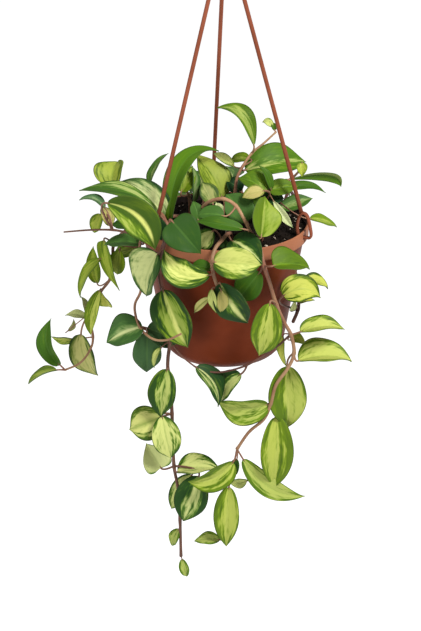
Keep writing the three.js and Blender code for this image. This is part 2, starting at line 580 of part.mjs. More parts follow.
function pot() {
  const foot = -POT_HEIGHT + FOOT_HEIGHT;
  const corner = FOOT_HEIGHT * 0.35;
  const outside = [
    [0, -POT_HEIGHT],
    [BASE_RADIUS, -POT_HEIGHT],
    [(BASE_RADIUS + FOOT_RADIUS) / 2 + 1.2, -POT_HEIGHT + corner],
    [FOOT_RADIUS, foot],
    [RIM_RADIUS - LIP_STEP, -LIP_HEIGHT - 0.5],
    [RIM_RADIUS - 0.4, -LIP_HEIGHT],
    [RIM_RADIUS, -LIP_HEIGHT + 0.6],
    [RIM_RADIUS, -0.8],
  ];
  const inside = [
    [RIM_RADIUS - WALL / 2, 0],
    [RIM_RADIUS - WALL, -0.8],
    [RIM_RADIUS - WALL, -LIP_HEIGHT + WALL],
    [RIM_RADIUS - LIP_STEP - WALL, -LIP_HEIGHT + WALL - 0.5],
    [FOOT_RADIUS - WALL, foot],
    [(BASE_RADIUS + FOOT_RADIUS) / 2 - WALL, -POT_HEIGHT + WALL + corner],
    [BASE_RADIUS - WALL, -POT_HEIGHT + WALL],
    [0, -POT_HEIGHT + WALL],
  ];
  const profile = [...outside, ...inside].map(([radius, height]) => new THREE.Vector2(radius, height));
  const turned = new THREE.LatheGeometry(profile, POT_SIDES);
  turned.rotateX(Math.PI / 2);
  let body = solid(turned);
  for (let hole = 0; hole < DRAIN_HOLES; hole++) {
    const angle = (2 * Math.PI * hole) / DRAIN_HOLES;
    const drill = new THREE.CylinderGeometry(DRAIN_RADIUS, DRAIN_RADIUS, WALL * 4, 8);
    drill.rotateX(Math.PI / 2);
    drill.translate(DRAIN_RING * Math.cos(angle), DRAIN_RING * Math.sin(angle), -POT_HEIGHT);
    body = body.subtract(solid(drill));
  }
  for (const azimuth of ROD_AZIMUTHS) {
    const { inside, outside, bottom, top, width } = LIP_HOLE;
    const slot = new THREE.BoxGeometry(outside - inside, width, top - bottom);
    slot.translate((inside + outside) / 2, 0, (top + bottom) / 2);
    slot.rotateZ(THREE.MathUtils.degToRad(azimuth));
    body = body.subtract(solid(slot));
  }
  return body;
}

// The soil: fills the pot to just below the rim, over the lip's step, with a lumpy top and a plain hole for
// each stem
function soilHeight(radius, angle) {
  const [x, y] = [radius * Math.cos(angle), radius * Math.sin(angle)];
  const mound = SOIL_MOUND * (1 - (radius / RIM_RADIUS) ** 2);
  return SOIL_EDGE + mound + SOIL_LUMP * Math.sin(0.19 * x + 1) * Math.cos(0.23 * y + 0.4);
}

function soil(roots) {
  const clearance = GAP + 0.25;
  const edge = RIM_RADIUS - WALL - clearance;
  const step = -LIP_HEIGHT + WALL + GAP;
  const neck = potInnerRadius(-LIP_HEIGHT) - clearance;
  const floor = -POT_HEIGHT + WALL + GAP;
  const foot = -POT_HEIGHT + FOOT_HEIGHT;
  const corner = floor + FOOT_HEIGHT * 0.35;
  const rings = [
    circle(BASE_RADIUS - WALL - clearance, floor, SOIL_SIDES),
    circle((BASE_RADIUS + FOOT_RADIUS) / 2 - WALL - clearance - 0.4, corner, SOIL_SIDES),
    circle(potInnerRadius(foot) - clearance, foot, SOIL_SIDES),
    circle(neck, step - 0.5, SOIL_SIDES),
    circle(neck + 1.2, step, SOIL_SIDES),
    circle(edge, step + 0.2, SOIL_SIDES),
  ];
  for (const share of [1, 0.7, 0.35]) {
    const ring = circle(edge * share, 0, SOIL_SIDES);
    ring.forEach((point) => point.setZ(soilHeight(edge * share, Math.atan2(point.y, point.x))));
    rings.push(ring);
  }
  let body = solid(loft(rings, new THREE.Vector3(0, 0, soilHeight(0, 0))));
  for (const { x, y, radius } of roots) {
    const depth = ROOT_DEPTH + GAP;
    const hole = new THREE.CylinderGeometry(radius + HOLE_CLEARANCE, radius + HOLE_CLEARANCE, depth, 6);
    hole.rotateX(Math.PI / 2);
    hole.translate(x, y, -depth / 2);
    body = body.subtract(solid(hole));
  }
  return body;
}

// The hanger: a hook on a small hub, three rods, and at each rod's foot a strap that arches over the lip and
// puts its toe through the lip's slot from outside
function strap() {
  const toe = (LIP_HOLE.bottom + LIP_HOLE.top) / 2;
  const line = [
    [69.4, -3.2], [68.4, 2], [68.8, 8], [70.6, 13.6], [73.8, 16.4], [77, 14.4], [79, 9], [80.4, 3],
    [81.2, -2.5], [80.2, toe + 0.3], [77.2, toe], [72.8, toe],
  ];
  const rings = line.map(([radius, height], i) => {
    const [r0, z0] = line[Math.max(i - 1, 0)];
    const [r1, z1] = line[Math.min(i + 1, line.length - 1)];
    const length = Math.hypot(r1 - r0, z1 - z0);
    const dr = ((z1 - z0) / length) * (STRAP_THICKNESS / 2);
    const dz = (-(r1 - r0) / length) * (STRAP_THICKNESS / 2);
    const half = STRAP_WIDTH / 2;
    return [
      new THREE.Vector3(radius + dr, -half, height + dz),
      new THREE.Vector3(radius + dr, half, height + dz),
      new THREE.Vector3(radius - dr, half, height - dz),
      new THREE.Vector3(radius - dr, -half, height - dz),
    ];
  });
  return loft(rings);
}

function rodRadiusAt(height) {
  return (ROD_AIM.radius * (ROD_AIM.apex - height)) / (ROD_AIM.apex - ROD_AIM.height);
}

function hanger() {
  const solids = [];
  const upright = new THREE.Vector3(0, 0, 1);
  for (const azimuth of ROD_AZIMUTHS) {
    const turn = THREE.MathUtils.degToRad(azimuth);
    const foot = new THREE.Vector3(rodRadiusAt(15.5), 0, 15.5).applyAxisAngle(upright, turn);
    const head = new THREE.Vector3(rodRadiusAt(HUB.bottom + 4), 0, HUB.bottom + 4).applyAxisAngle(upright, turn);
    solids.push(tube([foot, head], [ROD_RADIUS, ROD_RADIUS], 8));
    solids.push(solid(strap().rotateZ(turn)));
  }
  const hubProfile = [
    [0, HUB.bottom], [HUB.radius - 2, HUB.bottom], [HUB.radius, HUB.bottom + 2], [HUB.radius, HUB.top - 4],
    [HUB.radius - 3, HUB.top - 1], [4, HUB.top], [0, HUB.top],
  ];
  const hub = new THREE.LatheGeometry(hubProfile.map(([radius, height]) => new THREE.Vector2(radius, height)), 16);
  solids.push(solid(hub.rotateX(Math.PI / 2)));
  const wire = [new THREE.Vector3(0, 0, HUB.top - 2)];
  for (let degrees = -90; degrees <= HOOK.end; degrees += 24.58) {
    const angle = THREE.MathUtils.degToRad(degrees);
    wire.push(new THREE.Vector3(HOOK.loop * Math.cos(angle), 0, HOOK.centre + HOOK.loop * Math.sin(angle)));
  }
  solids.push(tube(wire, wire.map(() => HOOK.wire), 8));
  return joined(solids);
}

// The vines
function place([px, py, near]) {
  const forward = new THREE.Vector3(0, Math.cos(PITCH), -Math.sin(PITCH));
  const up = new THREE.Vector3(0, Math.sin(PITCH), Math.cos(PITCH));
  const ray = forward.addScaledVector(up, (PICTURE.height / 2 - py) / PICTURE.focal);
  ray.x += (px - PICTURE.width / 2) / PICTURE.focal;
  return EYE.clone().addScaledVector(ray, (-near - EYE.y) / ray.y);
}

// Half of a blade's width at a share of its length, as a share of its greatest half width: round towards
// the stalk, pointed at the tip.
function outline(share, peak) {
  const power = Math.log(0.5) / Math.log(peak);
  return Math.sin(Math.PI * share ** power) ** (0.62 + 0.5 * share ** 2);
}

function across(direction, axis) {
  return direction.clone().addScaledVector(axis, -direction.dot(axis)).normalize();
}

function leafSolid(leaf, root) {
  const base = place([...leaf.base, leaf.near[0]]);
  const tip = place([...leaf.tip, leaf.near[1]]);
  const chord = tip.clone().sub(base);
  const along = chord.clone().normalize();
  const middle = base.clone().add(tip).multiplyScalar(0.5);
  const facing = across(EYE.clone().sub(middle).normalize(), along);
  const sideways = along.clone().cross(facing);
  const turn = THREE.MathUtils.degToRad(leaf.turn ?? 0);
  const fold = THREE.MathUtils.degToRad(leaf.fold ?? USUAL_FOLD);
  const face = facing.clone().multiplyScalar(Math.cos(turn)).addScaledVector(sideways, Math.sin(turn));
  middle.addScaledVector(chord, leaf.push ?? 0);
  middle.addScaledVector(face, 2 * (leaf.bow ?? 0));
  middle.addScaledVector(sideways, 2 * (leaf.sway ?? 0));
  const midrib = new THREE.QuadraticBezierCurve3(base, middle, tip);

  const stalk = base.clone().sub(root).normalize();
  const start = midrib.getTangent(0);
  const stalkSide = stalk.clone().cross(across(face, start));
  if (stalkSide.length() < 0.15) stalkSide.copy(start).cross(across(face, start));
  stalkSide.normalize();
  const stalkUp = stalkSide.clone().cross(stalk);
  const rings = [
    STALK_SECTION.map(([x, y]) =>
      root
        .clone()
        .addScaledVector(stalkSide, x * STALK_RADIUS)
        .addScaledVector(stalkUp, y * STALK_RADIUS),
    ),
  ];
  let stations = BLADE_STATIONS;
  if (leaf.wide < NARROW_BLADE) stations = NARROW_STATIONS;
  if (leaf.wide < SMALL_BLADE) stations = SMALL_STATIONS;
  for (const share of stations) {
    const point = midrib.getPoint(share);
    const tangent = midrib.getTangent(share);
    const up = across(face, tangent);
    const side = tangent.clone().cross(up);
    const half = Math.max((outline(share, leaf.peak ?? USUAL_PEAK) * leaf.wide) / 2, STALK_RADIUS);
    const corner = (sign, lift) =>
      point
        .clone()
        .addScaledVector(side, sign * half * Math.cos(fold))
        .addScaledVector(up, Math.abs(sign) * half * Math.sin(fold) + (lift * BLADE_THICKNESS) / 2);
    rings.push([corner(-1, 1), corner(0, 1), corner(1, 1), corner(1, -1), corner(0, -1), corner(-1, -1)]);
  }
  return solid(loft(rings, tip));
}

function vineSolids(vine) {
  const anchors = vine.stem.map(place);
  let buried = 0;
  if (vine.root) {
    const [x, y] = vine.root;
    anchors.unshift(new THREE.Vector3(x, y, -ROOT_DEPTH), new THREE.Vector3(x, y, ROOT_TOP));
    buried = 1;
  }
  const curve = new THREE.CatmullRomCurve3(anchors, false, "catmullrom");
  const spans = anchors.length - 1;
  const points = buried ? [anchors[0]] : [];
  for (let span = buried; span < spans; span++) {
    const [start, middle, end] = [span, span + 0.5, span + 1].map((at) => curve.getPoint(at / spans));
    points.push(start);
    if (start.clone().lerp(end, 0.5).distanceTo(middle) > STEM_STRAIGHT) points.push(middle);
  }
  points.push(anchors[spans]);
  const [start, end] = vine.thick;
  const radii = points.map((_, i) => THREE.MathUtils.lerp(start, end, i / (points.length - 1)) / 2);
  const solids = [tube(points, radii, STEM_SIDES)];
  for (const leaf of vine.leaves) solids.push(leafSolid(leaf, anchors[leaf.at + 2 * buried]));
  return solids;
}

// The part
const CLAY_BROWN = 0xa9512f;
const SOIL_BROWN = 0x2c1f17;
const LEAF_GREENS = [0x5d8f3a, 0x78a447, 0x4a7d35, 0x8fb255];

const plantedPot = new THREE.Group();
const roots = VINES.filter((vine) => vine.root).map((vine) => ({
  x: vine.root[0],
  y: vine.root[1],
  radius: vine.thick[0] / 2,
}));
plantedPot.add(meshOf("pot", pot(), CLAY_BROWN, 0.5));
plantedPot.add(meshOf("soil", soil(roots), SOIL_BROWN, 0.95));
plantedPot.add(meshOf("hanger", hanger(), CLAY_BROWN, 0.4));

const nodes = new Map();
for (const vine of VINES) nodes.set(vine.node, [...(nodes.get(vine.node) ?? []), ...vineSolids(vine)]);
[...nodes].forEach(([name, solids], i) => {
  plantedPot.add(meshOf(name, joined(solids), LEAF_GREENS[i % LEAF_GREENS.length], 0.4));
});
plantedPot.position.z = -HOOK_SEAT;

export default plantedPot;
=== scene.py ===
# A variegated hoya in a hanging pot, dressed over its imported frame. Metres, +Z up; the frame's origin is
# the top of the inside of the hook. Plant places and sizes below are in millimetres from the pot's rim.
import math
import random

import bpy
import numpy as np
from mathutils import Matrix, Vector, noise


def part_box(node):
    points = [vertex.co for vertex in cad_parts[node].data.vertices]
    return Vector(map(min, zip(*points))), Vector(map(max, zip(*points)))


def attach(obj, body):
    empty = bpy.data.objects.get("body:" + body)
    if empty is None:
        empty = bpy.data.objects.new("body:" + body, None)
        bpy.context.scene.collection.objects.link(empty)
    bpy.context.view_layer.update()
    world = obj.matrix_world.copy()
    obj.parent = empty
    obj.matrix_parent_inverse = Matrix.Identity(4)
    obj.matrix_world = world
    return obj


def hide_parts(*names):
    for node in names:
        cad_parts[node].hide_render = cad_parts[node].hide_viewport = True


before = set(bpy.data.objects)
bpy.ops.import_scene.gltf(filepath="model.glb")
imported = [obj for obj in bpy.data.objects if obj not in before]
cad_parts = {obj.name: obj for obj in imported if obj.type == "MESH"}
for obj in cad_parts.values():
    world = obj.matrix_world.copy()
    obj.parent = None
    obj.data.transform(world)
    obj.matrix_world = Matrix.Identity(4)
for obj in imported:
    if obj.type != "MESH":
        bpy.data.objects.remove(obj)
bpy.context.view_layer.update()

MM = 0.001
RIM_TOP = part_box("pot")[1][2]

# The photograph's camera: 421 by 631 pixels, looking along +Y and down
PICTURE_WIDTH = 421
PICTURE_HEIGHT = 631
FOCAL_PIXELS = 1470.8
EYE = np.array([-11.907, -1217.674, 455.27])
PITCH = math.radians(24.2306)
SENSOR = 36

# Light
WORLD_LIGHT = 0.42
FLOOR_GLOW = 0.62
FLOOR_COLOUR = (0.93, 0.93, 0.93)
FLOOR_REACH = 9000
FLOOR_HEIGHT = -1250
KEY_LIGHT = 38
FILL_LIGHT = 14

# Pot and soil
POT_SIDES = 160
POT_ROUNDING = 3.2
RIM_RADIUS = 75
WALL = 2
LIP_HEIGHT = 12.5
LIP_STEP = 4
POT_HEIGHT = 122
FOOT_RADIUS = 55
FOOT_HEIGHT = 9
BASE_RADIUS = 46.5
DRAIN_HOLES = 6
DRAIN_RING = 29
DRAIN_RADIUS = 4.5
SOIL_EDGE = -7
SOIL_MOUND = 2.6
SOIL_LUMP = 1.1
SOIL_SIDES = 120
SOIL_RINGS = 46
CRUMBS = 2200
SOIL_SHARE = 0.96
OCTAHEDRON = [(1, 0, 0), (-1, 0, 0), (0, 1, 0), (0, -1, 0), (0, 0, 1), (0, 0, -1)]
OCTAHEDRON_FACES = [(0, 2, 4), (2, 1, 4), (1, 3, 4), (3, 0, 4), (2, 0, 5), (1, 2, 5), (3, 1, 5), (0, 3, 5)]

# Hanger
ROD_AZIMUTHS = (97.5, 217.5, 337.5)
ROD_RADIUS = 1.8
ROD_AIM_RADIUS = 75
ROD_AIM_HEIGHT = 6
ROD_APEX = 252
ROD_FOOT = 15.5
STRAP_WIDTH = 4.2
STRAP_THICKNESS = 2.2
SLOT_INSIDE = 71
SLOT_OUTSIDE = 77
SLOT_BOTTOM = -6.95
SLOT_TOP = -4.15
SLOT_WIDTH = 4.8
HUB_RADIUS = 9.5
HUB_BOTTOM = 224
HUB_TOP = 235
HUB_ROUNDING = 1.2
HOOK_WIRE = 2.4
HOOK_LOOP = 13.4
HOOK_CENTRE = 263
HOOK_END = 205
HOOK_STEPS = 60
HANGER_SIDES = 20
STRAP_SIDES = 16
STRAP_STEPS = 60
STRAP_TOE = (SLOT_BOTTOM + SLOT_TOP) / 2
STRAP_LINE = [
    (69.4, -3.2), (68.4, 2), (68.8, 8), (70.6, 13.6), (73.8, 16.4), (77, 14.4), (79, 9), (80.4, 3),
    (81.2, -2.5), (80.2, STRAP_TOE + 0.3), (77.2, STRAP_TOE), (72.8, STRAP_TOE),
]

# Plant
ROOT_DEPTH = 30
ROOT_TOP = -1
USUAL_FOLD = 20
USUAL_PEAK = 0.43
USUAL_BARK = 0.3
BLADE_ROWS = 30
BLADE_COLUMNS = 16
BLADE_THICKNESS = 0.9
BLADE_LEAST_HALF = 0.25
GROOVE_DEPTH = 0.35
GLOW_SPREAD = 0.12
STALK_RADIUS = 1
STALK_SIDES = 8
STALK_STEPS = 8
STEM_SIDES = 12
STEM_STEPS = 7

# Colours
HANGER_COLOUR = (0.15, 0.041, 0.02)
POT_COLOUR = (0.097, 0.016, 0.0035)
LIP_COLOUR = (0.27, 0.105, 0.052)
# The cool greens and grey cream are partly painted sheen, and the yellow ones partly painted backlight
DARK_COOL = (0.007, 0.034, 0.019)
DARK_WARM = (0.01, 0.036, 0.006)
MID_COOL = (0.075, 0.15, 0.065)
MID_GREEN = (0.052, 0.132, 0.005)
MID_YELLOW = (0.2, 0.275, 0.008)
CREAM_GREY = (0.55, 0.6, 0.45)
CREAM = (0.47, 0.5, 0.17)
CREAM_YELLOW = (0.45, 0.46, 0.05)
TAN = (0.34, 0.25, 0.11)
RIB = (0.1, 0.2, 0.04)
EDGE = (0.03, 0.045, 0.012)
UNDER = (0.13, 0.2, 0.075)
YOUNG_STEM = ((0.3, 0.12, 0.075), (0.44, 0.25, 0.14))
OLD_STEM = ((0.035, 0.013, 0.012), (0.09, 0.032, 0.025))
GREEN_STEM = (0.32, 0.22, 0.09)
STEM_STREAK = (0.09, 0.03, 0.02)
# Painted shade: the dark browns of the wall inside the pot
INNER_WALL_SHADE = ((0.014, 0.006, 0.004), (0.04, 0.014, 0.009))
SOIL_COLOURS = ((0.003, 0.002, 0.001), (0.018, 0.011, 0.007))
SOIL_DUST = (0.01, 0.007, 0.005)
GRIT_COLOURS = ((0.28, 0.2, 0.13), (0.6, 0.52, 0.42))

# A leaf's colouring: the half width of its cream centre, how yellow (to 1) or grey (to -1) its greens are,
# how dark its margin is, how dense the cream is, how tan it is, how far it breaks into streaks, and how
# strong a cream line (or, below 0, a green one) its midrib is. The yellow is partly the leaf's own colour and
# partly painted backlight; the grey is partly its own colour and partly painted sheen.
LOOKS = {
    "plain": (-0.6, -0.1, 0.75, 0, 0, 0.1, 0),
    "deep": (-0.6, -0.25, 1, 0, 0, 0.15, 0),
    "mid": (-0.6, 0, 0.4, 0, 0, 0.4, 0),
    "bright": (-0.6, 0.1, 0.1, 0, 0, 0.4, 0),
    "bright_streak": (0.16, 0.12, 0.15, 0.6, 0, 0.9, 0),
    "cool": (-0.6, -0.6, 0.5, 0, 0, 0.15, 0),
    "grey": (0.25, -0.8, 0.3, 0.25, 0, 0.4, 0),
    "grey_bright": (0.5, 0.05, 0.15, 0.3, 0, 0.4, 0),
    "pale_grey": (1.4, -0.5, 0, 0.9, 0, 0.3, 0),
    "fresh": (0.4, 0.25, 0.15, 0.4, 0, 0.9, 0),
    "olive": (0.3, 0.3, 0.5, 0.2, 0.35, 0.7, 0),
    "olive_bright": (0.5, 0.6, 0.45, 0.35, 0.1, 0.8, 0),
    "yellow": (0.6, 0.9, 0.3, 0.5, 0.15, 0.9, 0),
    "yellow_margin": (0.5, 0.6, 0.6, 0.7, 0.1, 0.6, 0),
    "pale_yellow": (0.8, 0.8, 0.1, 0.8, 0.05, 0.6, 0),
    "streaked": (0.7, 0.3, 0.3, 0.55, 0, 1.2, 0),
    "margin": (0.55, 0, 0.95, 0.85, 0, 0.6, 0),
    "margin_rib": (0.3, -0.1, 0.9, 0.7, 0, 0.7, 1),
    "cool_margin": (0.5, -0.6, 0.9, 0.85, 0, 0.6, 0),
    "dark_streak": (0.1, -0.15, 0.95, 0.7, 0, 0.7, 1),
    "cream": (1, 0.15, 0.35, 0.85, 0, 0.7, 0),
    "ghost": (1.2, -0.15, 0.2, 0.9, 0, 0.3, 0),
    "tan": (0.9, 0.6, 0.45, 0.6, 0.85, 0.7, 0),
    "tan_cream": (1.1, 0.2, 0.3, 0.9, 0.45, 0.4, -0.8),
    "lime": (0.35, 0.5, 0.1, 0.35, 0, 0.8, 0),
    "olive_light": (0.45, 0.65, 0.25, 0.3, 0, 1, 0),
    "tan_heart": (0.65, 0.1, 0.8, 0.9, 0.35, 0.8, 0),
    "tan_bright": (0.9, 0.5, 0.3, 0.9, 0.7, 0.6, 0),
    "two_stripe": (0.15, 0.35, 0.7, 0.5, 0, 0.6, 1.4),
    "mid_patch": (0.15, -0.05, 0.45, 0.5, 0, 0.9, 0),
    "warm_green": (-0.1, 0.35, 0.4, 0, 0, 0.6, 0),
    "cream_cool": (0.75, -0.35, 0.9, 0.9, 0, 0.7, 0),
    "cream_edged": (0.75, 0.1, 0.75, 0.9, 0, 0.8, 0),
    "cream_warm": (0.85, 0.3, 0.85, 0.85, 0.05, 0.6, 0),
    "dark_mottled": (0.4, 0.25, 0.95, 0.3, 0, 1.1, 1.5),
    "dark_wide": (0, -0.1, 1, 0.8, 0, 0.5, 1.7),
    "margin_mottled": (0.45, 0.15, 0.9, 0.6, 0, 1.1, 0),
    "mottled": (0.5, 0.65, 0.4, 0.6, 0.05, 1.1, 0),
    "blush": (0.8, 0.25, 0.7, 0.95, 0.12, 0.8, -0.5),
    "fresh_yellow": (0.5, 0.5, 0.4, 0.55, 0, 1.1, 0.4),
    "yellow_streaked": (0.8, 0.5, 0.45, 0.7, 0, 1.1, 0),
    "yellow_bright": (0.8, 0.7, 0.8, 0.85, 0, 1, 0),
    "half_light": (0.4, 0.45, 0.35, 0.25, 0, 0.3, 0.4),
    "grey_brown": (0.5, -0.1, 0.7, 0.5, 0.45, 0.6, 0),
    "gold_streak": (0.7, 0.55, 0.5, 0.3, 0.2, 1.6, 0),
    "grey_green": (0.3, -0.2, 0.35, 0.3, 0, 0.5, 0),
    "mid_cool": (-0.2, -0.3, 0.35, 0, 0, 0.25, 0),
    "mid_yellow_soft": (-0.05, 0.3, 0.4, 0.4, 0, 0.7, 0),
    "cool_line": (0.3, -0.4, 0.5, 0.35, 0, 0.3, 1),
    "margin_soft": (0.6, -0.25, 0.7, 0.9, 0, 0.7, 0),
    "cream_patch": (0.55, 0.35, 0.9, 1, 0, 0.7, 0),
    "grey_muted": (0.5, -0.35, 0.35, 0.3, 0, 0.3, 0),
}


def vine(node, thick, stem, leaves, root=None, bark=USUAL_BARK):
    return {"node": node, "thick": thick, "stem": stem, "leaves": leaves, "root": root, "bark": bark}


def leaf(at, base, tip, wide, look, turn=0, bow=0, **bends):
    return {"at": at, "base": base, "tip": tip, "wide": wide, "look": look, "turn": turn, "bow": bow, **bends}
